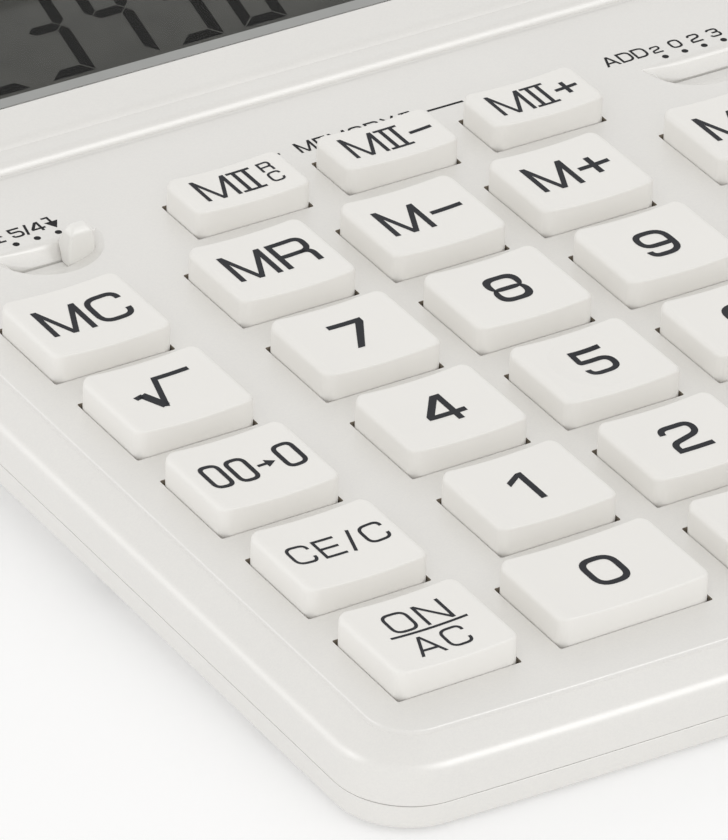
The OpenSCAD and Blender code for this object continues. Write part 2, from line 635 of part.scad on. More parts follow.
top_case();
bottom_case();
display_window();
lcd_panel();
lcd_holder();
lcd_screws();
lcd_ribbon();
solar_panel();
solar_leads();
circuit_board();
chip_blob();
capacitor();
rubber_keymat();
button_cell();
cell_contacts();
rounding_slider();
rounding_wiper();
decimal_slider();
decimal_wiper();
case_screws();
board_screws();
rubber_feet();
key_m2_recall();
key_m2_minus();
key_m2_plus();
key_mc();
key_mr();
key_m_minus();
key_m_plus();
key_mark_up();
key_grand_total();
key_root();
key_7();
key_8();
key_9();
key_percent();
key_sign();
key_back();
key_4();
key_5();
key_6();
key_times();
key_divide();
key_clear_entry();
key_1();
key_2();
key_3();
key_plus();
key_minus();
key_on();
key_0();
key_00();
key_point();
key_equals();
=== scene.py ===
import math

import bpy
from mathutils import Matrix, Vector


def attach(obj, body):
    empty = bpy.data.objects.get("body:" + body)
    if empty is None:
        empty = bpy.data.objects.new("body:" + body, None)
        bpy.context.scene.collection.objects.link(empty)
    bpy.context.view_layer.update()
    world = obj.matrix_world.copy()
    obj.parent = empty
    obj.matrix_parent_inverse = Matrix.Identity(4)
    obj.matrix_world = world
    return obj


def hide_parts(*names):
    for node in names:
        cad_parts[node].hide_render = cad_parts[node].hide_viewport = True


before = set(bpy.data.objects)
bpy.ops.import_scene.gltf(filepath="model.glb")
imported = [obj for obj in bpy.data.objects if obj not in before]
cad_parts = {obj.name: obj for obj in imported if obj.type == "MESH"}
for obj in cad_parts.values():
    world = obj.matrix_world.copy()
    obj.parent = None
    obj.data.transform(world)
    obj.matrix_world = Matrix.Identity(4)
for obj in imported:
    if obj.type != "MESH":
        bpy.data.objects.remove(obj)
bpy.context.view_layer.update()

# Sizes are millimetres in the slab's own frame: x to the right from the middle, y to the rear from the
# front wall, z up from the underside of the slab. STAND leans that frame back and sets it on the desk.

# Case
CASE_W = 153.0
SLAB_T = 11.3
SEAM_Z = 3.5
WALL = 2.0
SKIN = 2.0
CORNER_R = 9.8
BOW = 1.9
RIM_W = 3.95
RIM_DROP = 2.4
EDGE_R = 1.6
RIM_ROUND = 2.2
ROUND_Z = 7.0
PANEL_STEP = 0.6
BASE_R = 1.2
FLOOR_T = 1.8
LEAN = math.radians(2.9)
WALL_Z = SLAB_T - RIM_DROP - EDGE_R
RIM_Z = SLAB_T - PANEL_STEP
UNDER_Z = SLAB_T - SKIN
SEAM_CHAMFER = 0.05
SEAM_GAP = 0.045
UPPER_SEAM = SEAM_Z + SEAM_GAP
LOWER_SEAM = SEAM_Z - SEAM_GAP
PANEL_IN = RIM_W + 0.4
LINING_IN = RIM_W + 0.8
LINING_DROP = 2.6

# Keys
COL_PITCH = 22.0
COL_GAP = 4.45
ROW_PITCH = 19.58
HOLE_W = 16.85
HOLE_D = 14.5
SMALL_D = 9.25
SMALL_SHIFT = 6.05
SMALL_PITCH = 18.2
ZERO_EXTRA = 4.3
FRONT_MARGIN = 19.0
HOLE_R = 0.25
HOLE_SOFT = 0.08
KEY_CLEAR = 0.1
KEY_TOP = SLAB_T + 3.8
KEY_DISH = 0.42
HOME_DEPTH = 0.5
HOME_R = 5.7
KEY_R = 1.5
KEY_EDGE = 0.95
KEY_BROW = 0.28
KEY_WALL = 1.3
KEY_ROOF = KEY_TOP - KEY_DISH - KEY_WALL
FLANGE_Z = 8.25
FLANGE_T = 0.9
FLANGE_OUT = 0.35
POST_R = 2.55

# Selectors
STEP = 3.03
LEFT_RUN = 2 * STEP
RIGHT_RUN = 5 * STEP
SCOOP_R = 7.7
SCOOP_DEPTH = 2.3
SCOOP_RUN = 1.3
SCOOP_EDGE = 0.8
KNOB_W = 3.8
KNOB_D = 3.05
KNOB_BROW = 2.2
KNOB_RISE = 3.0
KNOB_TOP_W = 1.8
KNOB_SHIFT = 0.7
KNOB_SOFT = 0.38
CARRIER_W = 9.0
CARRIER_D = 5.4
CARRIER_T = 1.4
SLIDE = 0.3
FIT = 0.15

# Display block
BLOCK_GAP = 20.5
BLOCK_L = 63.0
RIDGE_H = 2.0
RIDGE_RUN = 3.7
FACE_SLOPE = math.radians(8.5)
BLOCK_EDGE = 3.4
WINDOW_W = 128.0
WINDOW_L = 25.5
WINDOW_S = 7.0
PANE_T = 1.3
SUNK = 0.1
LEDGE = 1.6
BORDER_W = 1.7
BORDER_EDGE = 0.15
SOLAR_W = 58.0
SOLAR_L = 11.0
SOLAR_S = WINDOW_S + WINDOW_L + 4.0
LCD_TOP = -2.1
LCD_T = 2.0

# Places that follow from these sizes
COL_0 = -(5 * COL_PITCH + 2 * COL_GAP) / 2
SMALL_Y = FRONT_MARGIN + 4 * ROW_PITCH + SMALL_PITCH
BLOCK_Y = SMALL_Y + BLOCK_GAP
CASE_L = BLOCK_Y + BLOCK_L
RIDGE_Y = BLOCK_Y + RIDGE_RUN
RIDGE_Z = SLAB_T + RIDGE_H
FACE_END = CASE_L - 9.0
SCOOP_Y = SMALL_Y + 4.2
SCOOP_Z = SLAB_T - SCOOP_DEPTH
SCOOP_BALL = (SCOOP_R ** 2 + SCOOP_DEPTH ** 2) / (2 * SCOOP_DEPTH)
SCOOP_UNDER = 7.6
KNOB_Y = SCOOP_Y - SLIDE - FIT - KNOB_D / 2
BOW_R = (CASE_W ** 2 / 4 + BOW ** 2) / (2 * BOW)
CORNER_X = CASE_W / 2 - CORNER_R
CORNER_Y = BOW_R - math.sqrt((BOW_R - CORNER_R) ** 2 - CORNER_X ** 2)
BOW_A = math.asin(CORNER_X / (BOW_R - CORNER_R))
FOOT_Y = 15.0
FOOT_OUT = 1.0
FOOT_D = 10.0
FOOT_IN = 0.6
SIDE_START = CORNER_Y + 20
SIDE_END = CASE_L - CORNER_R - 1
FRONT_EDGE = -WALL_Z * math.sin(LEAN)
REAR_EDGE = CASE_L * math.cos(LEAN) - BASE_R * math.sin(LEAN)
MID_Y = (FRONT_EDGE + REAR_EDGE) / 2
LIFT = FOOT_OUT * math.cos(LEAN) - FOOT_Y * math.sin(LEAN)
MM = 0.001
STAND = Matrix.Scale(MM, 4) @ Matrix.Translation((0, -MID_Y, LIFT)) @ Matrix.Rotation(LEAN, 4, "X")
FACE = Matrix.Translation((0, RIDGE_Y, RIDGE_Z)) @ Matrix.Rotation(FACE_SLOPE, 4, "X")


def col(c):
    """Middle of a key column."""
    return COL_0 + c * COL_PITCH + (COL_GAP if c > 0 else 0) + (COL_GAP if c > 3 else 0)


def row(r):
    """Middle of a key row, counted from the rear."""
    return FRONT_MARGIN + (4 - r) * ROW_PITCH


LEFT_X = col(0) + 6.75
RIGHT_X = col(4) + COL_PITCH / 2 + 0.25


# Modelling helpers

def only(piece):
    """Leaves one piece selected and active."""
    bpy.ops.object.select_all(action="DESELECT")
    piece.select_set(True)
    bpy.context.view_layer.objects.active = piece


def add(name, primitive, **sizes):
    """Adds a primitive by itself, under a name."""
    bpy.ops.object.select_all(action="DESELECT")
    primitive(**sizes)
    piece = bpy.context.active_object
    piece.name = name
    piece.data.name = name
    return piece


def edit_all(piece):
    """Opens a piece in edit mode with everything selected."""
    only(piece)
    bpy.ops.object.mode_set(mode="EDIT")
    bpy.ops.mesh.select_all(action="SELECT")


def ends(piece, edge):
    """Places of an edge's two ends."""
    return [piece.data.vertices[v].co for v in edge.vertices]


def edit_edges(piece, wanted):
    """Opens a piece in edit mode with the wanted edges selected.

    wanted takes an edge and the normals of the faces beside it.
    """
    only(piece)
    bpy.ops.object.mode_set(mode="EDIT")
    bpy.ops.mesh.select_mode(type="EDGE")
    bpy.ops.mesh.select_all(action="DESELECT")
    bpy.ops.object.mode_set(mode="OBJECT")
    normals = {}
    for face in piece.data.polygons:
        for key in face.edge_keys:
            normals.setdefault(key, []).append(face.normal)
    for edge in piece.data.edges:
        edge.select = wanted(edge, normals.get(edge.key, []))
    bpy.ops.object.mode_set(mode="EDIT")


def leave_edit():
    bpy.ops.object.mode_set(mode="OBJECT")


def weld(piece, gap=0.0005):
    """Merges doubles, drops faces without area and points all faces outwards."""
    edit_all(piece)
    bpy.ops.mesh.remove_doubles(threshold=gap)
    bpy.ops.mesh.dissolve_degenerate(threshold=gap)
    bpy.ops.mesh.normals_make_consistent(inside=False)
    leave_edit()
    return piece


def close_ends(piece):
    """Fills the open ends of a loft and welds it."""
    edit_all(piece)
    bpy.ops.mesh.fill_holes(sides=0)
    leave_edit()
    return weld(piece)


def join(first, *others):
    """Makes several pieces one, under the first one's name."""
    bpy.ops.object.select_all(action="DESELECT")
    for piece in others:
        piece.select_set(True)
    first.select_set(True)
    bpy.context.view_layer.objects.active = first
    bpy.ops.object.join()
    return first


def loft(name, rings, closed=False):
    """A skin through rows of points: a grid with its rows laid on the rings."""
    lines = [list(ring) + list(ring[:1]) if closed else list(ring) for ring in rings]
    piece = add(name, bpy.ops.mesh.primitive_grid_add,
                x_subdivisions=len(lines[0]) - 1, y_subdivisions=len(lines) - 1, size=2)
    places = [c for line in lines for point in line for c in point]
    piece.data.vertices.foreach_set("co", places)
    piece.data.update()
    return piece


def block(name, x0, x1, y0, y1, z0, z1, round_r=0.0, segments=4):
    """An upright block, with its standing edges rounded."""
    piece = add(name, bpy.ops.mesh.primitive_cube_add, size=1,
                location=((x0 + x1) / 2, (y0 + y1) / 2, (z0 + z1) / 2),
                scale=(x1 - x0, y1 - y0, z1 - z0))
    bpy.ops.object.transform_apply(location=True, rotation=True, scale=True)
    if round_r > 0:
        edit_edges(piece, lambda e, n: abs(ends(piece, e)[0].z - ends(piece, e)[1].z) > 1e-4)
        bpy.ops.mesh.bevel(offset=round_r, segments=segments, affect="EDGES")
        leave_edit()
    return piece


def combine(piece, tool, how="DIFFERENCE"):
    """Cuts a tool out of a piece, or adds it, and removes the tool."""
    only(piece)
    change = piece.modifiers.new("combine", "BOOLEAN")
    change.operation = how
    change.solver = "EXACT"
    change.object = tool
    bpy.ops.object.modifier_apply(modifier=change.name)
    bpy.data.objects.remove(tool)
    return piece


def soften(piece, offset, segments, wanted):
    """Bevels the wanted edges."""
    edit_edges(piece, wanted)
    bpy.ops.mesh.bevel(offset=offset, segments=segments, affect="EDGES", clamp_overlap=True)
    leave_edit()
    return piece


def shade(piece, angle=35, weighted=False):
    """Smooth shading with crisp edges past an angle."""
    only(piece)
    bpy.ops.object.shade_smooth_by_angle(angle=math.radians(angle))
    if weighted:
        even = piece.modifiers.new("even", "WEIGHTED_NORMAL")
        even.keep_sharp = True
        bpy.ops.object.modifier_apply(modifier=even.name)
    return piece


def duplicate(piece, name, matrix):
    """A copy with its own mesh, moved by a matrix."""
    copy = piece.copy()
    copy.data = piece.data.copy()
    copy.name = name
    copy.data.name = name
    bpy.context.scene.collection.objects.link(copy)
    copy.data.transform(matrix)
    return copy


def fit_out(piece, body, finish, nodes=()):
    """Stands a finished piece on the desk, gives it its finish and its body, and hides the solids of the
    nodes it stands for.
    """
    piece.data.transform(STAND)
    piece.data.materials.clear()
    piece.data.materials.append(finish)
    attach(piece, body)
    if nodes:
        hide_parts(*nodes)
    return piece


# Finishes

def node_group(name, inputs, outputs):
    """An empty shader node group with its sockets."""
    group = bpy.data.node_groups.new(name, "ShaderNodeTree")
    for label, value in inputs:
        socket = group.interface.new_socket(label, in_out="INPUT", socket_type="NodeSocketFloat")
        socket.default_value = value
    for label in outputs:
        group.interface.new_socket(label, in_out="OUTPUT", socket_type="NodeSocketFloat")
    return group, group.nodes.new("NodeGroupInput"), group.nodes.new("NodeGroupOutput")


def make_grain():
    """Fine moulded grain for a bump, and a slow cloud for tone and gloss."""
    group, given, out = node_group("moulded_grain", [("Grain", 4000.0), ("Cloud", 60.0)], ["Height", "Tone"])
    link = group.links.new
    place = group.nodes.new("ShaderNodeTexCoord")
    fine = group.nodes.new("ShaderNodeTexNoise")
    fine.inputs["Detail"].default_value = 3.0
    slow = group.nodes.new("ShaderNodeTexNoise")
    slow.inputs["Detail"].default_value = 4.0
    slow.inputs["Roughness"].default_value = 0.6
    for noise, scale in ((fine, "Grain"), (slow, "Cloud")):
        link(place.outputs["Object"], noise.inputs["Vector"])
        link(given.outputs[scale], noise.inputs["Scale"])
    link(fine.outputs["Fac"], out.inputs["Height"])
    link(slow.outputs["Fac"], out.inputs["Tone"])
    return group


def make_flakes():
    """Pearl flakes: small cells, each of its own brightness."""
    group, given, out = node_group("pearl_flakes", [("Scale", 5200.0)], ["Flake"])
    link = group.links.new
    place = group.nodes.new("ShaderNodeTexCoord")
    cells = group.nodes.new("ShaderNodeTexVoronoi")
    split = group.nodes.new("ShaderNodeSeparateColor")
    link(place.outputs["Object"], cells.inputs["Vector"])
    link(given.outputs["Scale"], cells.inputs["Scale"])
    link(cells.outputs["Color"], split.inputs["Color"])
    link(split.outputs["Red"], out.inputs["Flake"])
    return group


GRAIN = make_grain()
FLAKES = make_flakes()


class Finish:
    """A material on the Principled shader, with short words for its nodes."""

    def __init__(self, name, **constants):
        self.material = bpy.data.materials.new(name)
        self.material.use_nodes = True
        self.nodes = self.material.node_tree.nodes
        self.links = self.material.node_tree.links
        self.shader = self.nodes["Principled BSDF"]
        for socket, value in constants.items():
            self.shader.inputs[socket.replace("_", " ")].default_value = value

    def group(self, group, **values):
        node = self.nodes.new("ShaderNodeGroup")
        node.node_tree = group
        for socket, value in values.items():
            node.inputs[socket].default_value = value
        return node

    def ramp(self, source, stops):
        node = self.nodes.new("ShaderNodeValToRGB")
        while len(node.color_ramp.elements) < len(stops):
            node.color_ramp.elements.new(0.5)
        for element, (place, colour) in zip(node.color_ramp.elements, stops):
            element.position = place
            element.color = (*colour, 1.0)
        self.links.new(source, node.inputs["Fac"])
        return node.outputs["Color"]

    def cloudy(self, tone, colour, change):
        """A colour that turns a little darker and paler with a tone."""
        dark, pale = (tuple(c * (1 + way) for c in colour) for way in (-change, change))
        return self.ramp(tone, [(0.3, dark), (0.7, pale)])

    def range(self, source, low, high):
        node = self.nodes.new("ShaderNodeMapRange")
        node.inputs["To Min"].default_value = low
        node.inputs["To Max"].default_value = high
        self.links.new(source, node.inputs["Value"])
        return node.outputs["Result"]

    def blend(self, kind, amount, a, b):
        node = self.nodes.new("ShaderNodeMix")
        node.data_type = "RGBA"
        node.blend_type = kind
        node.inputs["Factor"].default_value = amount
        self.links.new(a, node.inputs["A"])
        self.links.new(b, node.inputs["B"])
        return node.outputs["Result"]

    def bump(self, source, strength, distance):
        node = self.nodes.new("ShaderNodeBump")
        node.inputs["Strength"].default_value = strength
        node.inputs["Distance"].default_value = distance
        self.links.new(source, node.inputs["Height"])
        self.links.new(node.outputs["Normal"], self.shader.inputs["Normal"])

    def feed(self, socket, source):
        self.links.new(source, self.shader.inputs[socket])


def plastic(name, colour, gloss=(0.32, 0.4), change=0.015, grain=4000.0, cloud=60.0, bump=0.1, **constants):
    """Moulded plastic: a slow cloud in tone and gloss, and a fine grain."""
    finish = Finish(name, **constants)
    cover = finish.group(GRAIN, Grain=grain, Cloud=cloud)
    finish.feed("Base Color", finish.cloudy(cover.outputs["Tone"], colour, change))
    finish.feed("Roughness", finish.range(cover.outputs["Tone"], *gloss))
    finish.bump(cover.outputs["Height"], bump, 0.00003)
    return finish.material


# Face mark on the key-hole walls; the case finish darkens marked faces as painted shade.
HOLE_SHADE_MARK = "inside"


def pearl_plastic(name, colour):
    """Pearl-white moulded plastic: flakes of slightly different brightness below a satin coat.

    Faces that are marked as inside, the walls of the key holes, are darkened to brown-grey: painted shade
    for the dark gaps round the keys.
    """
    finish = Finish(name, Coat_Weight=0.5, Coat_Roughness=0.27)
    cover = finish.group(GRAIN, Grain=3000.0, Cloud=45.0)
    flakes = finish.group(FLAKES, Scale=5200.0)
    base = finish.cloudy(cover.outputs["Tone"], colour, 0.012)
    sparkle = finish.ramp(flakes.outputs["Flake"], [(0.0, (0.972, 0.972, 0.976)), (1.0, (1.0, 1.0, 0.997))])
    pearl = finish.blend("MULTIPLY", 1.0, base, sparkle)
    inside = finish.nodes.new("ShaderNodeAttribute")
    inside.attribute_name = HOLE_SHADE_MARK
    # painted shade: marked hole walls turn brown-grey to stand in for the shade in the gaps round the keys
    painted_hole_shade = finish.ramp(inside.outputs["Fac"], [(0.0, (1.0, 1.0, 1.0)), (1.0, (0.4, 0.35, 0.29))])
    finish.feed("Base Color", finish.blend("MULTIPLY", 1.0, pearl, painted_hole_shade))
    finish.feed("Roughness", finish.range(flakes.outputs["Flake"], 0.34, 0.44))
    finish.bump(cover.outputs["Height"], 0.08, 0.00003)
    return finish.material


def metal(name, colour, gloss, grain=2500.0):
    return plastic(name, colour, gloss, 0.05, grain, 120.0, 0.15, Metallic=1.0)


CASE_WHITE = pearl_plastic("pearl_white_case", (0.8, 0.787, 0.758))
KEY_WHITE = plastic("white_key_plastic", (0.865, 0.85, 0.818), (0.46, 0.54), 0.01, Specular_IOR_Level=0.4)
KNOB_WHITE = plastic("white_knob_plastic", (0.86, 0.85, 0.82), (0.34, 0.42), 0.01)
INK = plastic("charcoal_print", (0.017, 0.018, 0.022), (0.5, 0.65), 0.12, 6000.0, 900.0, 0.2,
              Specular_IOR_Level=0.2)
PANEL_INK = plastic("black_print", (0.004, 0.004, 0.005), (0.5, 0.65), 0.2, 6000.0, 900.0, 0.2,
                    Specular_IOR_Level=0.2)
BORDER_GREY = plastic("grey_window_print", (0.325, 0.33, 0.32), (0.3, 0.36), 0.03, 5000.0, 200.0, 0.05)
SEGMENT_BLACK = plastic("dark_segments", (0.006, 0.006, 0.005), (0.4, 0.5), 0.1, 5000.0, 300.0, 0.05,
                        Specular_IOR_Level=0.12)
FOOT_RUBBER = plastic("foot_rubber", (0.06, 0.06, 0.06), (0.7, 0.85), 0.15, 2500.0, 200.0, 0.4)
INNER_PLASTIC = plastic("grey_inner_plastic", (0.25, 0.25, 0.25), (0.4, 0.5), 0.04)
RIBBON_FILM = plastic("amber_ribbon_film", (0.3, 0.14, 0.03), (0.25, 0.35), 0.1)
LEAD_RED = plastic("red_lead_sleeve", (0.45, 0.02, 0.015), (0.35, 0.45), 0.08)
CHIP_BLACK = plastic("black_chip_resin", (0.02, 0.02, 0.02), (0.2, 0.3), 0.2)
CAPACITOR_BLUE = plastic("blue_capacitor_sleeve", (0.02, 0.04, 0.12), (0.25, 0.35), 0.1)
MAT_RUBBER = plastic("grey_mat_rubber", (0.12, 0.118, 0.11), (0.6, 0.75), 0.04)
CELL_STEEL = metal("cell_steel", (0.62, 0.62, 0.63), (0.22, 0.32))
SCREW_STEEL = metal("screw_steel", (0.5, 0.5, 0.5), (0.28, 0.4))
CONTACT_BRASS = metal("contact_brass", (0.75, 0.55, 0.25), (0.25, 0.35))


def board_laminate():
    """Brown board with paler tracks."""
    finish = Finish("brown_board_laminate")
    cover = finish.group(GRAIN, Grain=900.0, Cloud=180.0)
    finish.feed("Base Color", finish.ramp(cover.outputs["Tone"], [
        (0.35, (0.13, 0.07, 0.025)), (0.5, (0.2, 0.12, 0.045)), (0.55, (0.3, 0.19, 0.08))]))
    finish.feed("Roughness", finish.range(cover.outputs["Height"], 0.35, 0.5))
    finish.bump(cover.outputs["Tone"], 0.3, 0.00005)
    return finish.material


def display_glass():
    """Grey-green display glass with a slightly cloudy polariser."""
    finish = Finish("grey_display_glass", Specular_IOR_Level=0.3)
    cover = finish.group(GRAIN, Grain=1500.0, Cloud=55.0)
    finish.feed("Base Color", finish.ramp(cover.outputs["Tone"], [
        (0.3, (0.078, 0.079, 0.071)), (0.7, (0.114, 0.114, 0.103))]))
    finish.feed("Roughness", finish.range(cover.outputs["Tone"], 0.2, 0.3))
    finish.bump(cover.outputs["Height"], 0.02, 0.00002)
    return finish.material


def clear_pane():
    """Clear acrylic, with a trace of haze."""
    finish = Finish("clear_pane", Alpha=0.1, IOR=1.49, Specular_IOR_Level=0.2)
    cover = finish.group(GRAIN, Grain=2000.0, Cloud=80.0)
    finish.feed("Base Color", finish.ramp(cover.outputs["Tone"], [
        (0.3, (0.018, 0.0185, 0.018)), (0.7, (0.022, 0.0225, 0.022))]))
    finish.feed("Roughness", finish.range(cover.outputs["Tone"], 0.03, 0.07))
    return finish.material


def solar_glass():
    """Dark solar cells side by side below glass, with thin pale lines between them."""
    finish = Finish("dark_solar_cells", Coat_Weight=0.6, Coat_Roughness=0.05)
    cover = finish.group(GRAIN, Grain=2600.0, Cloud=140.0)
    place = finish.nodes.new("ShaderNodeTexCoord")
    bands = finish.nodes.new("ShaderNodeTexWave")
    bands.bands_direction = "X"
    cells = 4
    bands.inputs["Scale"].default_value = math.pi * cells / (10 * SOLAR_W * MM)
    bands.inputs["Phase Offset"].default_value = math.pi / 2
    finish.links.new(place.outputs["Object"], bands.inputs["Vector"])
    base = finish.ramp(cover.outputs["Tone"], [(0.3, (0.020, 0.013, 0.017)), (0.7, (0.034, 0.021, 0.027))])
    lines = finish.ramp(bands.outputs["Fac"], [(0.0, (0.16, 0.14, 0.13)), (0.012, (0.0, 0.0, 0.0))])
    finish.feed("Base Color", finish.blend("ADD", 1.0, base, lines))
    finish.feed("Roughness", finish.range(cover.outputs["Tone"], 0.18, 0.3))
    finish.bump(cover.outputs["Height"], 0.03, 0.00002)
    return finish.material


# Case shells

def bow_place(a):
    return lambda i: (-(BOW_R - i) * math.sin(a), BOW_R - (BOW_R - i) * math.cos(a))


def corner_place(y, a):
    return lambda i: (-CORNER_X + (CORNER_R - i) * math.cos(a), y + (CORNER_R - i) * math.sin(a))


def side_place(y):
    return lambda i: (-CASE_W / 2 + i, y)


def spread(start, end, count):
    """Even values from start to end, both included."""
    return [start + (end - start) * k / count for k in range(count + 1)]


def rounding(radius, steps):
    """(inset, distance from the top or bottom) of points along a rounded edge, starting at the wall."""
    return [(radius * (1 - math.cos(a)), radius * (1 - math.sin(a))) for a in spread(0, math.pi / 2, steps)]


def front_places():
    """Places along the left half of the plan, from the front middle to the end of the front corner."""
    bow = [bow_place(a) for a in spread(0, BOW_A, 14)]
    corner = [corner_place(CORNER_Y, a) for a in spread(math.radians(270) - BOW_A, math.pi, 18)]
    return bow + corner[1:]


def rear_places():
    """Places round the rear left corner."""
    return [corner_place(CASE_L - CORNER_R, a) for a in spread(math.pi, math.pi / 2, 18)]


def mirrored(line):
    return [(-x, y, z) for x, y, z in line]


def shell(name, outer, inner):
    """A hollow half of the case.

    Each row of points runs from the seam up the outside of the left wall, over to the right wall, and back
    along the inside. A last strip closes the rear between the two corners.
    """
    rings = []
    for out, back in zip(outer, inner):
        rings.append(out + mirrored(reversed(out)) + mirrored(back) + list(reversed(back)))
    skin = loft(name, rings, closed=True)
    line = list(reversed(inner[-1])) + outer[-1]
    return weld(join(skin, loft(name + "_rear", [line, mirrored(line)])))


def face_z(y):
    """Height of the display face."""
    return RIDGE_Z + (y - RIDGE_Y) * math.tan(FACE_SLOPE)


FOOT_STEP = 0.12
FOOT_R = 1.9
FOOT_LOW = math.radians(70)
FOOT_HIGH = math.radians(14)
FOOT_AT = BLOCK_Y + 0.15
FOOT_RUN = FOOT_R * (math.sin(FOOT_LOW) - math.sin(FOOT_HIGH))
FOOT_RISE = FOOT_STEP + FOOT_R * (math.cos(FOOT_HIGH) - math.cos(FOOT_LOW))
BEND_L = 1.3
BEND_DROP = 0.55
SILL_D = 0.45
SILL_H = 0.08
REAR_RISE = 0.12
REAR_FALL = 0.033


def block_steps():
    """Places from front to rear at which the display block's roof line is sampled."""
    turn = [FOOT_AT + FOOT_R * (math.sin(FOOT_LOW) - math.sin(a)) for a in spread(FOOT_LOW, FOOT_HIGH, 8)]
    ridge = [RIDGE_Y - 0.15] + spread(RIDGE_Y, RIDGE_Y + BEND_L, 5)
    return turn + ridge + spread(RIDGE_Y + 8, SIDE_END, 4)


def roof_z(y):
    """Height of the display block: a rounded foot, a slope up to the ridge, the face and the rear edge."""
    if y <= FOOT_AT + FOOT_RUN:
        lean = math.asin(math.sin(FOOT_LOW) - (y - FOOT_AT) / FOOT_R)
        return SLAB_T + FOOT_STEP + FOOT_R * (math.cos(lean) - math.cos(FOOT_LOW))
    if y <= RIDGE_Y:
        start = FOOT_AT + FOOT_RUN
        rise = SLAB_T + FOOT_RISE
        return rise + (RIDGE_Z - BEND_DROP - rise) * (y - start) / (RIDGE_Y - start)
    if y <= RIDGE_Y + BEND_L:
        return face_z(y) - BEND_DROP * ((RIDGE_Y + BEND_L - y) / BEND_L) ** 2
    if y <= FACE_END:
        return face_z(y)
    past = y - FACE_END
    return face_z(FACE_END) + past * REAR_RISE - past * past * REAR_FALL


def slab_profile(lift=0.0):
    """(inset, height) from the seam up the wall, over the rim and up the step to the panel."""
    reach = math.hypot(RIM_W - RIM_ROUND, RIM_Z - ROUND_Z)
    slope = math.atan2(RIM_Z - ROUND_Z, RIM_W - RIM_ROUND) - math.asin(RIM_ROUND / reach)
    arc = [(RIM_ROUND * (1 - math.cos(a)), ROUND_Z + RIM_ROUND * math.sin(a))
           for a in spread(0, math.pi / 2 - slope, 8)]
    rim = [(arc[-1][0] + (RIM_W - arc[-1][0]) * t, arc[-1][1] + (RIM_Z - arc[-1][1]) * t)
           for t in (0.3, 0.65)]
    step = [(RIM_W - 0.04, RIM_Z - 0.02), (RIM_W - 0.01, RIM_Z + 0.1), (RIM_W + 0.02, SLAB_T - 0.24),
            (RIM_W + 0.1, SLAB_T - 0.09), (RIM_W + 0.22, SLAB_T - 0.02), (PANEL_IN, SLAB_T + lift)]
    return [(SEAM_CHAMFER, UPPER_SEAM), (0, UPPER_SEAM + SEAM_CHAMFER)] + arc + rim + step


def block_profile():
    """(inset, drop below the roof) of the display block, with None for the two fixed points at the seam."""
    return [(SEAM_CHAMFER, None), (0, None)] + rounding(BLOCK_EDGE, 15) + [(PANEL_IN, 0)]


def profile_line(place, profile):
    """A profile set up at a place of the plan."""
    return [(*place(i), z) for i, z in profile]


def roof_line(place):
    """The display block's profile set up at a place of the plan."""
    line = []
    for k, (inset, drop) in enumerate(block_profile()):
        x, y = place(inset)
        line.append((x, y, UPPER_SEAM + k * SEAM_CHAMFER if drop is None else roof_z(y) - drop))
    return line


def top_skins():
    """Rows of points of the top case's left half: the outside and the inside."""
    outer_rows = [profile_line(p, slab_profile()) for p in front_places()]
    flat = spread(SIDE_START, BLOCK_Y - SILL_D, 4)
    sill = [BLOCK_Y - SILL_D + SILL_H, FOOT_AT]
    outer_rows += [profile_line(side_place(y), slab_profile()) for y in flat]
    outer_rows += [profile_line(side_place(y), slab_profile(SILL_H)) for y in sill]
    outer_rows += [roof_line(side_place(y)) for y in block_steps()]
    outer_rows += [roof_line(p) for p in rear_places()]
    low = [(WALL, UPPER_SEAM), (WALL, UNDER_Z - LINING_DROP), (LINING_IN, UNDER_Z)]
    inner_rows = [profile_line(p, low) for p in front_places()]
    inner_rows += [profile_line(side_place(y), low) for y in flat + sill]
    for place in [side_place(y) for y in block_steps()] + rear_places():
        line = [(*place(WALL), UPPER_SEAM)]
        for inset, drop, lowest in ((WALL, 5.4, UNDER_Z - LINING_DROP), (LINING_IN, 2.15, UNDER_Z)):
            x, y = place(inset)
            line.append((x, y, max(roof_z(y) - drop, lowest)))
        inner_rows.append(line)
    return outer_rows, inner_rows


# Keys by row and column. Keys of another size follow with their own places.
KEY_ROWS = [("mc", "mr", "m_minus", "m_plus", "mark_up", "grand_total"),
            ("root", "7", "8", "9", "percent", "sign"),
            ("back", "4", "5", "6", "times", "divide"),
            ("clear_entry", "1", "2", "3", None, "minus"),
            ("on", None, "00", "point", None, "equals")]
KEY_PLACES = {key: (col(c), row(r), HOLE_W, HOLE_D)
              for r, keys in enumerate(KEY_ROWS) for c, key in enumerate(keys) if key}
for c, key in ((1, "m2_recall"), (2, "m2_minus"), (3, "m2_plus")):
    KEY_PLACES[key] = (col(c) + SMALL_SHIFT, SMALL_Y, HOLE_W, SMALL_D)
KEY_PLACES["0"] = (col(1) - ZERO_EXTRA / 2, row(4), HOLE_W + ZERO_EXTRA, HOLE_D)
KEY_PLACES["plus"] = (col(4), row(3.5), HOLE_W, HOLE_D + ROW_PITCH)


def scoop_tool(name, x, reach):
    """Half of a ball, drawn out sideways and flat at the rear."""
    ball = add(name, bpy.ops.mesh.primitive_uv_sphere_add, segments=96, ring_count=97, radius=SCOOP_BALL,
               rotation=(0, math.pi / 2, 0))
    bpy.ops.object.transform_apply(location=False, rotation=True, scale=False)
    for side in (-1, 1):
        edit_edges(ball, lambda e, n: all(ball.data.vertices[v].co.x * side > 0 for v in e.vertices))
        bpy.ops.transform.translate(value=(side * reach, 0, 0))
        leave_edit()
    edit_all(ball)
    bpy.ops.mesh.bisect(plane_co=(0, 0, 0), plane_no=(0, 1, 0), use_fill=True, clear_outer=True)
    bpy.ops.mesh.select_all(action="SELECT")
    bpy.ops.mesh.normals_make_consistent(inside=False)
    leave_edit()
    ball.data.transform(Matrix.Translation((x, SCOOP_Y, SCOOP_Z + SCOOP_BALL)))
    return ball


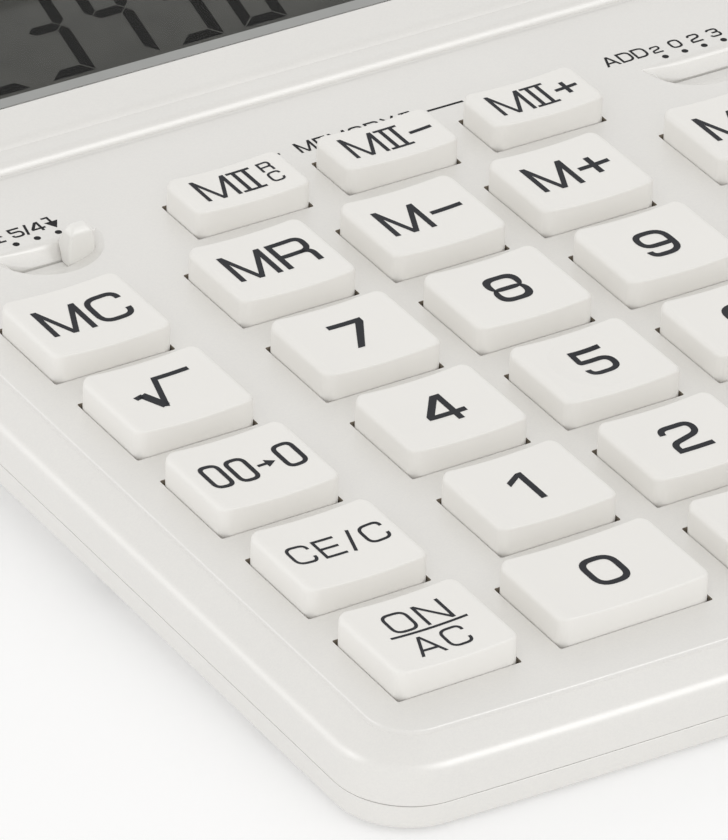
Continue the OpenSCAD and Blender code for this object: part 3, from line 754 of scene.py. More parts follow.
def edge_tool(x, reach):
    """Rounds off the rear edge of a scoop, less and less towards its ends."""
    wall = Vector((-SCOOP_RUN, -SCOOP_DEPTH)).normalized()
    corner = Vector((SCOOP_Y, SLAB_T))
    rings = []
    for u in spread(-1, 1, 48):
        out = u * (reach + SCOOP_R)
        side = max(0.0, abs(out) - reach) / SCOOP_R
        size = SCOOP_EDGE * (1 - side * side) + 0.01
        top, low = corner + Vector((size, 0)), corner + wall * size
        line = [top * (1 - t) ** 2 + corner * 2 * t * (1 - t) + low * t * t for t in spread(0, 1, 8)]
        line += [low + Vector((-0.1, 0.05)), corner + Vector((-0.1, 0.1)), top + Vector((0, 0.1))]
        rings.append([(x + out, y, z) for y, z in line])
    tool = loft("edge", rings, closed=True)
    edit_all(tool)
    bpy.ops.mesh.remove_doubles(threshold=0.0005)
    bpy.ops.mesh.select_all(action="SELECT")
    bpy.ops.mesh.fill_holes(sides=0)
    bpy.ops.mesh.select_all(action="SELECT")
    bpy.ops.mesh.normals_make_consistent(inside=False)
    leave_edit()
    return tool


def cut_scoop(case, x, run):
    """A finger scoop with a leaning rear wall, the channel of its knob and the slot of the knob's stem."""
    reach = (run - LEFT_RUN) / 2
    half = reach + SCOOP_R + 1.5
    combine(case, block("seat", x - half, x + half, SCOOP_Y - SCOOP_R - 1.5, SCOOP_Y + 3.2,
                        SCOOP_UNDER, UNDER_Z + 0.5), "UNION")
    half = run / 2 + KNOB_W / 2 + SLIDE + KNOB_SHIFT
    channel = block("channel", x - half, x + half, KNOB_Y - KNOB_D / 2 - SLIDE + SCOOP_RUN, SCOOP_Y,
                    SCOOP_Z - 0.05, SLAB_T + 1)
    tool = combine(scoop_tool("scoop", x, reach), channel, "UNION")
    lean = Matrix.Identity(4)
    lean[1][2] = SCOOP_RUN / SCOOP_DEPTH
    edge = Matrix.Translation((0, SCOOP_Y, SLAB_T))
    tool.data.transform(edge @ lean @ edge.inverted())
    combine(case, tool)
    combine(case, edge_tool(x, reach))
    half = run / 2 + 1.5 + KNOB_SHIFT
    foot = SCOOP_Y - SCOOP_RUN
    combine(case, block("slot", x - half, x + half, foot - 0.45, foot, SCOOP_UNDER - 1, SCOOP_Z + 0.3))


def cut_pocket(case, w, s, l):
    """A pocket in the display face for a pane, with an opening inside its ledge."""
    pocket = block("pocket", -w / 2 - FIT, w / 2 + FIT, s - FIT, s + l + FIT, -PANE_T - SUNK, 4)
    pocket.data.transform(FACE)
    combine(case, pocket)
    opening = block("opening", -w / 2 + LEDGE, w / 2 - LEDGE, s + LEDGE, s + l - LEDGE, -6, 4)
    opening.data.transform(FACE)
    combine(case, opening)


def hole_rim(normals):
    """Tells an edge between the flat panel and an upright hole wall by its face normals."""
    if len(normals) != 2:
        return False
    ups = sorted(n.z for n in normals)
    return abs(ups[0]) < 0.05 and ups[1] > 0.99


def paint_hole_wall_shade(case):
    """Marks the walls of the key holes, which the case finish darkens as painted shade for the gaps round
    the keys.
    """
    marks = case.data.attributes.new(HOLE_SHADE_MARK, "FLOAT", "FACE")
    for face, mark in zip(case.data.polygons, marks.data):
        px, py, pz = face.center
        upright = abs(face.normal.z) < 0.05 and pz < SLAB_T
        mark.value = float(upright and any(
            abs(px - x) < w / 2 + 0.05 and abs(py - y) < d / 2 + 0.05 for x, y, w, d in KEY_PLACES.values()))


def make_top_case():
    case = shell("top_case_shell", *top_skins())
    holes = [block("hole", x - w / 2, x + w / 2, y - d / 2, y + d / 2, UNDER_Z - 1, SLAB_T + 1, HOLE_R, 3)
             for x, y, w, d in KEY_PLACES.values()]
    combine(case, join(*holes))
    cut_scoop(case, LEFT_X, LEFT_RUN)
    cut_scoop(case, RIGHT_X, RIGHT_RUN)
    cut_pocket(case, WINDOW_W, WINDOW_S, WINDOW_L)
    cut_pocket(case, SOLAR_W, SOLAR_S, SOLAR_L)
    soften(case, HOLE_SOFT, 2, lambda e, n: hole_rim(n) and all(
        abs(p.z - SLAB_T) < 1e-3 and p.y < BLOCK_Y - 1 for p in ends(case, e)))
    # marks the hole walls that the case finish darkens as painted shade
    paint_hole_wall_shade(case)
    shade(case, 32, weighted=True)
    return fit_out(case, "case", CASE_WHITE, ["top_case"])


STAND_W = CASE_W - 24
STAND_Y0 = CASE_L - 51
STAND_Y1 = CASE_L - 4
REAR_FOOT = (STAND_W / 2 - 22, CASE_L - 12)
FRONT_FOOT = (CASE_W / 2 - 17, FOOT_Y)
SCREW_HEAD_R = 2.6
SCREW_DEEP = 3.0


def desk_z(y):
    """Height of the desk below the leaning slab."""
    return -FOOT_OUT - (y - FOOT_Y) * math.tan(LEAN)


def screw_places():
    """Middles of the case screws: two on each side and two below the stand."""
    side = [(s * (CASE_W / 2 - 5.6), row(r)) for s in (-1, 1) for r in (3.5, 1.5)]
    return side + [(s * (STAND_W / 2 - 8), CASE_L - 13) for s in (-1, 1)]


def disc(name, x, y, z0, z1, radius, sides=48):
    """An upright cylinder."""
    piece = add(name, bpy.ops.mesh.primitive_cylinder_add, vertices=sides, radius=radius, depth=z1 - z0,
                location=(x, y, (z0 + z1) / 2))
    bpy.ops.object.transform_apply(location=True, rotation=True, scale=True)
    return piece


def make_bottom_case():
    outer = [(SEAM_CHAMFER, LOWER_SEAM), (0, LOWER_SEAM - SEAM_CHAMFER)] + rounding(BASE_R, 6)
    outer.append((BASE_R + 1, 0))
    inner = [(WALL, LOWER_SEAM), (WALL, FLOOR_T + 0.4), (WALL + 0.4, FLOOR_T)]
    sides = [side_place(y) for y in spread(SIDE_START, SIDE_END, 6)]
    places = front_places() + sides + rear_places()
    case = shell("bottom_case_shell", [profile_line(p, outer) for p in places],
                 [profile_line(p, inner) for p in places])
    section = [(STAND_Y0, FLOOR_T - 0.4), (STAND_Y0 + 5, desk_z(STAND_Y0 + 5) + FOOT_OUT),
               (STAND_Y1 - 3, desk_z(STAND_Y1 - 3) + FOOT_OUT), (STAND_Y1, FLOOR_T - 0.4)]
    stand = loft("stand", [[(s * STAND_W / 2, y, z) for y, z in section] for s in (-1, 1)], closed=True)
    close_ends(stand)
    soften(stand, 1.0, 3, lambda e, n: any(p.z < 0 for p in ends(stand, e)))
    combine(case, stand, "UNION")
    wells = [disc("well", x, y, -20, SCREW_DEEP, SCREW_HEAD_R, 40) for x, y in screw_places()]
    rear_top = desk_z(REAR_FOOT[1]) + (FOOT_OUT + FOOT_IN)
    for s in (-1, 1):
        for (x, y), low, high in ((FRONT_FOOT, -5, FOOT_IN), (REAR_FOOT, -20, rear_top)):
            wells.append(disc("well", s * x, y, low, high, FOOT_D / 2 + FIT))
    combine(case, join(*wells))
    shade(case, 32, weighted=True)
    return fit_out(case, "case", CASE_WHITE, ["bottom_case"])


def make_feet():
    """Rubber discs with a soft lower edge, level with the desk."""
    feet = []
    for s in (-1, 1):
        for x, y in (FRONT_FOOT, REAR_FOOT):
            foot = disc("foot", 0, 0, 0, FOOT_OUT + 0.55, FOOT_D / 2)
            soften(foot, 0.3, 3, lambda e, n: all(p.z < 0.01 for p in ends(foot, e)))
            level = Matrix.Rotation(-LEAN, 4, "X")
            foot.data.transform(Matrix.Translation((s * x, y, desk_z(y) + 0.02)) @ level)
            feet.append(foot)
    piece = join(*feet)
    piece.name = "rubber_feet_discs"
    shade(piece, 40)
    return fit_out(piece, "case", FOOT_RUBBER, ["rubber_feet"])


# Keys

def key_ring(w, d, inset):
    """Points round a key's plan at an inset, each with its outward direction."""
    corner = max(KEY_R - inset, 0.0)
    x, y = w / 2 - max(KEY_R, inset), d / 2 - max(KEY_R, inset)
    ring = []
    across, along, turn = 12, 6, 6
    for quarter, (cx, cy) in enumerate(((x, y), (-x, y), (-x, -y), (x, -y))):
        for k in range(turn + 1):
            a = math.pi / 2 * (quarter + k / turn)
            cos, sin = math.cos(a), math.sin(a)
            ring.append((cx + corner * cos, cy + corner * sin, abs(cos), abs(sin)))
        nx, ny = ((-x, y), (-x, -y), (x, -y), (x, y))[quarter]
        steps = across if quarter % 2 == 0 else along
        a = math.pi / 2 * (quarter + 1)
        cos, sin = math.cos(a), math.sin(a)
        ox, oy = corner * cos, corner * sin
        for k in range(1, steps):
            t = k / steps
            ring.append((cx + (nx - cx) * t + ox, cy + (ny - cy) * t + oy, abs(cos), abs(sin)))
    return ring


def key_face_z(x, w):
    """Height of a key's dished face at a distance from its middle."""
    half = (w - 2 * KEY_CLEAR) / 2 - KEY_EDGE / 2
    return KEY_TOP - KEY_DISH * max(0.0, 1 - (x / half) ** 2)


def edge_drop(inset, nx, ny):
    """Rounding of a key's top edge: wide on the left and right, narrow at the front and rear."""
    radius = math.hypot(KEY_EDGE * nx, KEY_BROW * ny)
    short = max(0.0, radius - inset)
    return radius - math.sqrt(max(0.0, radius * radius - short * short))


def key_blank(name, w, d):
    """A hollow key: dished face, rounded edges, upright walls, flange and underside."""
    kw, kd = w - 2 * KEY_CLEAR, d - 2 * KEY_CLEAR
    inner = min(kw, kd) / 2
    insets = [inner, inner * 0.8, inner * 0.6, 2.6, 1.9, 1.4, 1.1, 0.8, 0.55, 0.38, 0.24, 0.13, 0.05, 0.0]
    rings = [[(x, y, key_face_z(x, w) - edge_drop(i, nx, ny)) for x, y, nx, ny in key_ring(kw, kd, i)]
             for i in insets]
    flat = [(0.0, SLAB_T - 0.5), (0.0, FLANGE_Z + FLANGE_T), (-FLANGE_OUT, FLANGE_Z + FLANGE_T),
            (-FLANGE_OUT, FLANGE_Z), (KEY_WALL, FLANGE_Z), (KEY_WALL, KEY_ROOF), (inner, KEY_ROOF)]
    rings += [[(x, y, z) for x, y, nx, ny in key_ring(kw, kd, i)] for i, z in flat]
    return weld(loft(name, rings, closed=True))


def home_z(x, y, w):
    """Height of the round hollow in the middle key."""
    return key_face_z(x, w) - HOME_DEPTH * (1 - (x * x + y * y) / HOME_R ** 2)


def home_blank(blank, w):
    """A key with a round hollow in its face, for the finger to find."""
    turns = spread(0, 2 * math.pi, 96)[:-1]
    rings = []
    for part in [0.0, 0.15, 0.3, 0.45, 0.6, 0.75, 0.9, 1.0, 1.1]:
        plan = [(HOME_R * part * math.cos(a), HOME_R * part * math.sin(a)) for a in turns]
        rings.append([(x, y, home_z(x, y, w)) for x, y in plan])
    rings.append([(x, y, KEY_TOP + 2) for x, y, z in rings[-1]])
    rings.append([(0, 0, KEY_TOP + 2) for a in turns])
    hollow = weld(loft("hollow", rings, closed=True))
    piece = combine(duplicate(blank, "home_blank", Matrix.Identity(4)), hollow)
    edit_edges(piece, lambda e, n: all(
        abs(p.to_2d().length - HOME_R) < 0.05 and p.z > KEY_TOP - KEY_DISH - 0.1 for p in ends(piece, e)))
    bpy.ops.mesh.mark_sharp()
    leave_edit()
    return piece


def make_keys():
    blanks = {}
    for key, (x, y, w, d) in KEY_PLACES.items():
        shape = "home" if key == "5" else (w, d)
        if (w, d) not in blanks:
            blanks[(w, d)] = key_blank("blank", w, d)
        if shape not in blanks:
            blanks[shape] = home_blank(blanks[(w, d)], w)
        posts = [-ROW_PITCH / 2, ROW_PITCH / 2] if key == "plus" else [0]
        piece = duplicate(blanks[shape], "keycap_" + key, Matrix.Translation((x, y, 0)))
        stems = [disc("stem", x, y + p, FLANGE_Z, KEY_ROOF, POST_R, 24) for p in posts]
        join(piece, *stems)
        shade(piece, 40)
        fit_out(piece, "key_" + key, KEY_WHITE, ["key_" + key])
    for blank in blanks.values():
        bpy.data.objects.remove(blank)


# Selector knobs

def make_knob(name, body, node, x):
    """A knob that narrows upwards, with soft edges, on a stem and a carrier below the panel."""
    low, brow, top = SCOOP_Z + FIT / 2, SLAB_T + KNOB_BROW, SLAB_T + KNOB_RISE
    front, rear = KNOB_Y - KNOB_D / 2, KNOB_Y + KNOB_D / 2
    foot = SCOOP_Y - SCOOP_RUN - 0.12
    rings = []
    for z, half, y0, y1 in ((low, KNOB_W / 2, front, foot), (SLAB_T, KNOB_W / 2, front, rear),
                            (brow, KNOB_W / 2 - 0.25, front + 0.15, rear - 0.9),
                            (top, KNOB_TOP_W / 2, front + 1.0, rear - 1.25)):
        rings.append([(x - half, y0, z), (x + half, y0, z), (x + half, y1, z), (x - half, y1, z)])
    knob = close_ends(loft(name, rings, closed=True))
    soften(knob, KNOB_SOFT, 4, lambda e, n: any(p.z > low + 0.01 for p in ends(knob, e))
           and not all(abs(p.z - SLAB_T) < 0.01 for p in ends(knob, e)))
    carrier_top = SCOOP_UNDER - FIT
    stem = block("stem", x - 1.2, x + 1.2, foot - 0.26, foot - 0.03, carrier_top - 0.1, low + 0.1)
    carrier = block("carrier", x - CARRIER_W / 2, x + CARRIER_W / 2, KNOB_Y - CARRIER_D / 2,
                    KNOB_Y + CARRIER_D / 2, carrier_top - CARRIER_T, carrier_top, 0.6)
    combine(knob, stem, "UNION")
    combine(knob, carrier, "UNION")
    shade(knob, 40, weighted=True)
    return fit_out(knob, body, KNOB_WHITE, [node])


# Print: each sign is drawn as strokes of even width in a box one unit high

def fillet(points, reach, closed):
    """Rounds corners with a curve that starts at a distance before each corner."""
    line = []
    count = len(points)
    for k, corner in enumerate(points):
        if reach[k] == 0 or (not closed and k in (0, count - 1)):
            line.append(corner)
            continue
        ways = [points[j % count] - corner for j in (k - 1, k + 1)]
        room = [w.length * (0.49 if reach[j % count] else 0.98) for j, w in zip((k - 1, k + 1), ways)]
        start, end = (corner + w.normalized() * min(reach[k], *room) for w in ways)
        for t in spread(0, 1, 7):
            line.append(start * (1 - t) ** 2 + corner * 2 * t * (1 - t) + end * t * t)
    return line


def ribbon(points, half, closed):
    """Outline of a stroke of even width: one loop, or two for a closed stroke."""
    left, right = [], []
    count = len(points)
    for k, point in enumerate(points):
        before = points[k - 1] if closed or k > 0 else None
        after = points[(k + 1) % count] if closed or k < count - 1 else None
        pairs = [(before, point), (point, after)]
        ways = [(b - a).normalized() for a, b in pairs if a is not None and b is not None]
        normals = [Vector((-w.y, w.x)) for w in ways]
        middle = sum(normals, Vector((0, 0))).normalized()
        out = half / max(middle.dot(normals[0]), 0.45)
        left.append(point + middle * out)
        right.append(point - middle * out)
    return [left, right] if closed else [left + right[::-1]]


def stroke(points, half, reach=0.0, closed=False):
    points = [Vector(p) for p in points]
    reach = reach if isinstance(reach, (list, tuple)) else [reach] * len(points)
    return ribbon(fillet(points, reach, closed), half, closed)


def area(*points):
    return [[Vector(p) for p in points]]


def bar(x0, x1, y0, y1):
    return area((x0, y0), (x1, y0), (x1, y1), (x0, y1))


def frame_corners(w, h, low=0.0, high=1.0):
    return [(h, low + h), (w - h, low + h), (w - h, high - h), (h, high - h)]


def sign_m(w, h):
    lean = w / 2 - h
    hw = h * math.hypot(1, lean) * 0.92
    inner = 1 - (w / 2 - h - hw) / lean
    outer = 1 - (h + hw) / lean
    return [area((0, 0), (0, 1), (h + hw, 1), (w / 2, inner), (w - h - hw, 1), (w, 1), (w, 0),
                 (w - 2 * h, 0), (w - 2 * h, outer), (w / 2 + hw, 0), (w / 2 - hw, 0), (2 * h, outer),
                 (2 * h, 0))]


def sign_n(w, h):
    lean = w - 2 * h
    hw = h * math.hypot(1, lean) * 0.9
    upper = 1 - (w - 3 * h - hw) / lean
    lower = 1 - (h + hw) / lean
    return [area((0, 0), (0, 1), (h + hw, 1), (w - 2 * h, upper), (w - 2 * h, 1), (w, 1), (w, 0),
                 (w - h - hw, 0), (2 * h, lower), (2 * h, 0))]


def sign_a(w, h):
    top = h * 1.1
    lean = w / 2 - top
    foot = 2 * h * math.hypot(1, lean)
    low, high = 0.24, 0.24 + 2 * h

    def edge(y):
        return foot + lean * y
    outer = area((0, 0), (w / 2 - top, 1), (w / 2 + top, 1), (w, 0), (w - foot, 0), (w - edge(low), low),
                 (edge(low), low), (foot, 0))
    hole = area((edge(high), high), (w - edge(high), high), (w / 2, (w / 2 - foot) / lean))
    return [outer + hole]


def sign_4(w, h):
    stem, low = w * 0.62, 0.2
    high = low + 2 * h
    slant = (stem + h) / (1 - high)
    hw = 2 * h * math.hypot(1, slant)
    outer = area((0, low), (0, high), (stem - h, 1), (stem + 2 * h, 1), (stem + 2 * h, high), (w, high),
                 (w, low), (stem + 2 * h, low), (stem + 2 * h, 0), (stem, 0), (stem, low))
    hole = area((hw, high), (stem, high), (stem, high + (stem - hw) / ((stem - h) / (1 - high))))
    return [outer + hole]


def sign_times(w, h):
    return [stroke([(0.05, 0.2), (w - 0.05, 0.8)], h), stroke([(0.05, 0.8), (w - 0.05, 0.2)], h)]


def ring_of(x, y, rx, ry, h):
    points = [Vector((x + rx * math.cos(a), y + ry * math.sin(a))) for a in spread(0, 2 * math.pi, 24)[:-1]]
    return ribbon(points, h, True)


def dot_at(x, y, r):
    return area(*[(x + r * math.cos(a), y + r * math.sin(a)) for a in spread(0, 2 * math.pi, 20)[:-1]])


# Width of each sign and how it is drawn, from its width and half its stroke
SIGNS = {
    "0": (0.84, lambda w, h: [stroke(frame_corners(w, h), h, 0.3, True)]),
    "o": (0.56, lambda w, h: [stroke(frame_corners(w, h), h, 0.19, True)]),
    "O": (0.84, lambda w, h: [stroke(frame_corners(w, h), h, 0.27, True)]),
    "1": (0.46, lambda w, h: [
        area((w - 2 * h, 0), (w, 0), (w, 1), (w - 1.7 * h, 1), (0, 0.78), (0, 0.62), (w - 2 * h, 0.84))]),
    "2": (0.84, lambda w, h: [
        stroke([(h, 0.72), (h, 1 - h), (w - h, 1 - h), (w - h, 0.55), (h, 0.36), (h, h), (w, h)], h,
            [0, 0.26, 0.26, 0.2, 0.16, 0, 0])]),
    "3": (0.84, lambda w, h: [
        stroke([(h, 0.76), (h, 1 - h), (w - 1.4 * h, 1 - h), (w - 1.4 * h, 0.52), (0.34 * w, 0.52)], h,
            [0, 0.24, 0.24, 0.2, 0]),
        stroke([(w - 2.2 * h, 0.52 - h), (w - h, 0.44), (w - h, h), (h, h), (h, 0.26)], h,
            [0, 0.08, 0.26, 0.24, 0])]),
    "4": (0.88, sign_4),
    "5": (0.82, lambda w, h: [
        stroke([(w - 0.05, 1 - h), (h, 1 - h), (h, 0.57), (w - h, 0.57), (w - h, h), (h, h), (h, 0.28)],
            h, [0, 0, 0.04, 0.28, 0.28, 0.24, 0])]),
    "6": (0.82, lambda w, h: [
        stroke([(w - h, 0.74), (w - h, 1 - h), (h, 1 - h), (h, h), (w / 2, h)], h,
            [0, 0.26, 0.32, 0.32, 0]),
        stroke([(w / 2, h), (w - h, h), (w - h, 0.57), (2 * h, 0.57)], h, [0, 0.28, 0.24, 0])]),
    "7": (0.8, lambda w, h: [
        area((0, 1), (w, 1), (w, 1 - 2.2 * h), (0.3 * w + 1.2 * h, 0), (0.3 * w - 1.1 * h, 0),
            (w - 2.6 * h, 1 - 2 * h), (0, 1 - 2 * h))]),
    "8": (0.82, lambda w, h: [
        stroke(frame_corners(w, h), h, 0.28, True)[:1]
        + stroke(frame_corners(w, h, 0.0, 0.5 + h), h, 0.26, True)[1:]
        + stroke(frame_corners(w, h, 0.5 - h, 1.0), h, 0.26, True)[1:]]),
    "9": (0.82, lambda w, h: [
        stroke([(h, 0.26), (h, h), (w - h, h), (w - h, 1 - h), (w / 2, 1 - h)], h,
            [0, 0.26, 0.32, 0.32, 0]),
        stroke([(w / 2, 1 - h), (h, 1 - h), (h, 0.43), (w - 2 * h, 0.43)], h, [0, 0.28, 0.24, 0])]),
    "A": (0.92, sign_a),
    "C": (0.8, lambda w, h: [
        stroke([(w - h, 0.7), (w - h, 1 - h), (h, 1 - h), (h, h), (w - h, h), (w - h, 0.32)], h,
            [0, 0.22, 0.28, 0.28, 0.22, 0])]),
    "D": (0.84, lambda w, h: [stroke(frame_corners(w, h), h, [0, 0.34, 0.34, 0], True)]),
    "E": (0.76, lambda w, h: [
        stroke([(w, 1 - h), (h, 1 - h), (h, h), (w, h)], h),
        bar(2 * h, w - 0.06, 0.5 - h, 0.5 + h)]),
    "F": (0.72, lambda w, h: [
        stroke([(w, 1 - h), (h, 1 - h), (h, 0)], h),
        bar(2 * h, w - 0.06, 0.48 - h, 0.48 + h)]),
    "G": (0.84, lambda w, h: [
        stroke([(w - h, 0.74), (w - h, 1 - h), (h, 1 - h), (h, h), (w - h, h), (w - h, 0.48),
            (0.52 * w, 0.48)], h, [0, 0.26, 0.34, 0.34, 0.3, 0, 0])]),
    "II": (0.66, lambda w, h: [
        bar(0, w, 1 - 1.5 * h, 1),
        bar(0, w, 0, 1.5 * h),
        bar(0.13, 0.13 + 2 * h, 1.5 * h, 1 - 1.5 * h),
        bar(w - 0.13 - 2 * h, w - 0.13, 1.5 * h, 1 - 1.5 * h)]),
    "M": (0.98, sign_m),
    "N": (0.88, sign_n),
    "R": (0.82, lambda w, h: [
        bar(0, 2 * h, 0, 1),
        stroke([(2 * h, 1 - h), (w - h, 1 - h), (w - h, 0.46), (2 * h, 0.46)], h, [0, 0.2, 0.2, 0]),
        stroke([(0.5 * w, 0.46), (w - h, 0.46), (w - h, 0)], h, [0, 0.2, 0])]),
    "T": (0.8, lambda w, h: [bar(0, w, 1 - 2 * h, 1), bar(w / 2 - h, w / 2 + h, 0, 1 - 2 * h)]),
    "U": (0.84, lambda w, h: [stroke([(h, 1), (h, h), (w - h, h), (w - h, 1)], h, [0, 0.34, 0.34, 0])]),
    "Y": (0.86, lambda w, h: [
        stroke([(h, 1), (w / 2, 0.45), (w - h, 1)], h),
        bar(w / 2 - h, w / 2 + h, 0, 0.45 - h)]),
    "+": (0.72, lambda w, h: [
        bar(0, w, 0.48 - h, 0.48 + h),
        bar(w / 2 - h, w / 2 + h, 0.48 + h, 0.8),
        bar(w / 2 - h, w / 2 + h, 0.16, 0.48 - h)]),
    "-": (0.72, lambda w, h: [bar(0, w, 0.48 - h, 0.48 + h)]),
    "=": (0.74, lambda w, h: [bar(0, w, 0.6 - h, 0.6 + h), bar(0, w, 0.34 - h, 0.34 + h)]),
    ".": (0.22, lambda w, h: [bar(0, 0.2, 0, 0.2)]),
    "/": (0.42, lambda w, h: [stroke([(h, -0.04), (w - h, 1.04)], h)]),
    ">": (0.46, lambda w, h: [
        bar(0, w - 0.24, 0.46 - 0.8 * h, 0.46 + 0.8 * h),
        area((w - 0.24, 0.3), (w, 0.46), (w - 0.24, 0.62))]),
    "times": (0.78, sign_times),
    "divide": (0.78, lambda w, h: [
        bar(0, w, 0.5 - h, 0.5 + h),
        dot_at(w / 2, 0.82, 0.1),
        dot_at(w / 2, 0.18, 0.1)]),
    "%": (1.05, lambda w, h: [
        ring_of(0.21, 0.75, 0.16, 0.19, h),
        ring_of(w - 0.21, 0.25, 0.16, 0.19, h),
        stroke([(0.2, 0), (w - 0.2, 1)], h)]),
    "root": (1.41, lambda w, h: [
        stroke([(0, 0.45), (0.2, 0.52)], h),
        stroke([(0.18, 0.54), (0.42, 0.03)], 1.7 * h),
        stroke([(0.41, 0.0), (0.68, 1 - h), (w, 1 - h)], h)]),
}


def lay_out(signs, height, gap, half):
    """Shapes of a row of signs, side by side round the middle."""
    widths = [SIGNS[s][0] for s in signs]
    x = -(sum(widths) + gap * (len(signs) - 1)) / 2
    shapes = []
    for sign, width in zip(signs, widths):
        for loops in SIGNS[sign][1](width, half):
            shapes.append([[((x + p.x) * height, (p.y - 0.5) * height) for p in loop] for loop in loops])
        x += width + gap
    return shapes


def moved(shapes, x, y):
    return [[[(px + x, py + y) for px, py in loop] for loop in loops] for loops in shapes]


def print_on(name, shapes, height_at, matrix, body, finish, slices=0.8):
    """Flat print: filled outlines made a mesh, cut into narrow strips and laid on a surface."""
    parts = []
    for loops in shapes:
        bpy.ops.object.select_all(action="DESELECT")
        flat = bpy.data.curves.new("outline", "CURVE")
        flat.dimensions = "2D"
        flat.fill_mode = "BOTH"
        for loop in loops:
            line = flat.splines.new("POLY")
            line.points.add(len(loop) - 1)
            for point, (x, y) in zip(line.points, loop):
                point.co = (x, y, 0, 1)
            line.use_cyclic_u = True
        part = bpy.data.objects.new("outline", flat)
        bpy.context.scene.collection.objects.link(part)
        only(part)
        bpy.ops.object.convert(target="MESH")
        parts.append(bpy.context.active_object)
    piece = join(*parts)
    piece.name = name
    piece.data.name = name
    if slices:
        low = min(v.co.x for v in piece.data.vertices)
        high = max(v.co.x for v in piece.data.vertices)
        only(piece)
        bpy.ops.object.mode_set(mode="EDIT")
        for k in range(math.ceil(low / slices), math.floor(high / slices) + 1):
            bpy.ops.mesh.select_all(action="SELECT")
            bpy.ops.mesh.bisect(plane_co=(k * slices, 0, 0), plane_no=(1, 0, 0))
        leave_edit()
    for v in piece.data.vertices:
        v.co.z = height_at(v.co.x, v.co.y)
    piece.data.transform(matrix)
    return fit_out(piece, body, finish)


INK_LIFT = 0.03
PRINT_LIFT = 0.02
BOLD = 0.072
MEDIUM = 0.064
PLAIN = 0.058
FINE = 0.055


def legend_rows():
    """Print on the keys: rows of signs with their height, place on the key, gap and half stroke."""
    digit = 6.05
    rows = {key: [([key], digit, 0, 0, 0.1, BOLD)] for key in "0123456789"}
    rows["1"] = [(["1"], digit, -0.7, 0, 0.1, BOLD)]
    rows["5"] = [(["5"], 5.75, 0.5, 0.55, 0.1, BOLD)]
    for key, second in (("mc", "C"), ("mr", "R"), ("mark_up", "U")):
        rows[key] = [(["M", second], 6.2, -0.1, 0.3, 0.12, MEDIUM)]
    for key, second in (("m_minus", "-"), ("m_plus", "+")):
        rows[key] = [(["M", second], 6.2, 0, 0.3, 0.14, MEDIUM)]
    rows["grand_total"] = [(["G", "T"], 6.2, 0, 0.3, 0.12, MEDIUM)]
    rows["root"] = [(["root"], 6.5, 0, 0.2, 0, 0.06)]
    rows["percent"] = [(["%"], digit, 0, 0, 0, FINE)]
    rows["sign"] = [(["+", "/", "-"], 5.6, 0, 0.1, 0.1, FINE)]
    rows["back"] = [(["o", "o", ">", "o"], 5.3, 0.1, 0, 0.11, PLAIN)]
    rows["times"] = [(["times"], digit, 0, 0, 0, BOLD)]
    rows["divide"] = [(["divide"], digit, 0, 0, 0, PLAIN)]
    rows["clear_entry"] = [(["C", "E", "/", "C"], 3.95, 0, 0.2, 0.18, FINE)]
    for key, sign in (("plus", "+"), ("minus", "-"), ("equals", "=")):
        rows[key] = [([sign], 8.0, 0, 0, 0, BOLD)]
    rows["point"] = [(["."], digit, 0, 1.6, 0, BOLD)]
    rows["00"] = [(["0", "0"], digit, 0, 0, 0.14, BOLD)]
    rows["on"] = [(["O", "N"], 4.2, -0.1, 2.3, 0.22, 0.052), (["A", "C"], 3.9, -0.3, -3.2, 0.16, 0.052)]
    rows["m2_recall"] = [(["M", "II"], 5.1, -1.35, 0.15, 0.06, 0.056), (["R"], 2.2, 4.9, 1.6, 0, 0.075),
                         (["C"], 2.4, 4.95, -1.0, 0, 0.07)]
    for key, second in (("m2_minus", "-"), ("m2_plus", "+")):
        rows[key] = [(["M", "II"], 5.1, -1.6, 0.15, 0.06, 0.056), ([second], 4.4, 4.9, 0.1, 0, 0.07)]
    return rows


def make_legends():
    """Prints each key's signs on its face."""
    for key, rows in legend_rows().items():
        x, y, w, d = KEY_PLACES[key]
        shapes = []
        for signs, height, dx, dy, gap, half in rows:
            shapes += moved(lay_out(signs, height, gap, half), dx, dy)
        if key == "on":
            shapes.append([[(-5.2, -0.52), (5.2, -0.52), (5.2, -0.12), (-5.2, -0.12)]])
        if key == "5":
            def height_at(px, py, w=w):
                return home_z(px, py, w) + INK_LIFT
        else:
            def height_at(px, py, w=w):
                return key_face_z(px, w) + INK_LIFT
        print_on("print_" + key, shapes, height_at, Matrix.Translation((x, y, 0)), "key_" + key, INK)


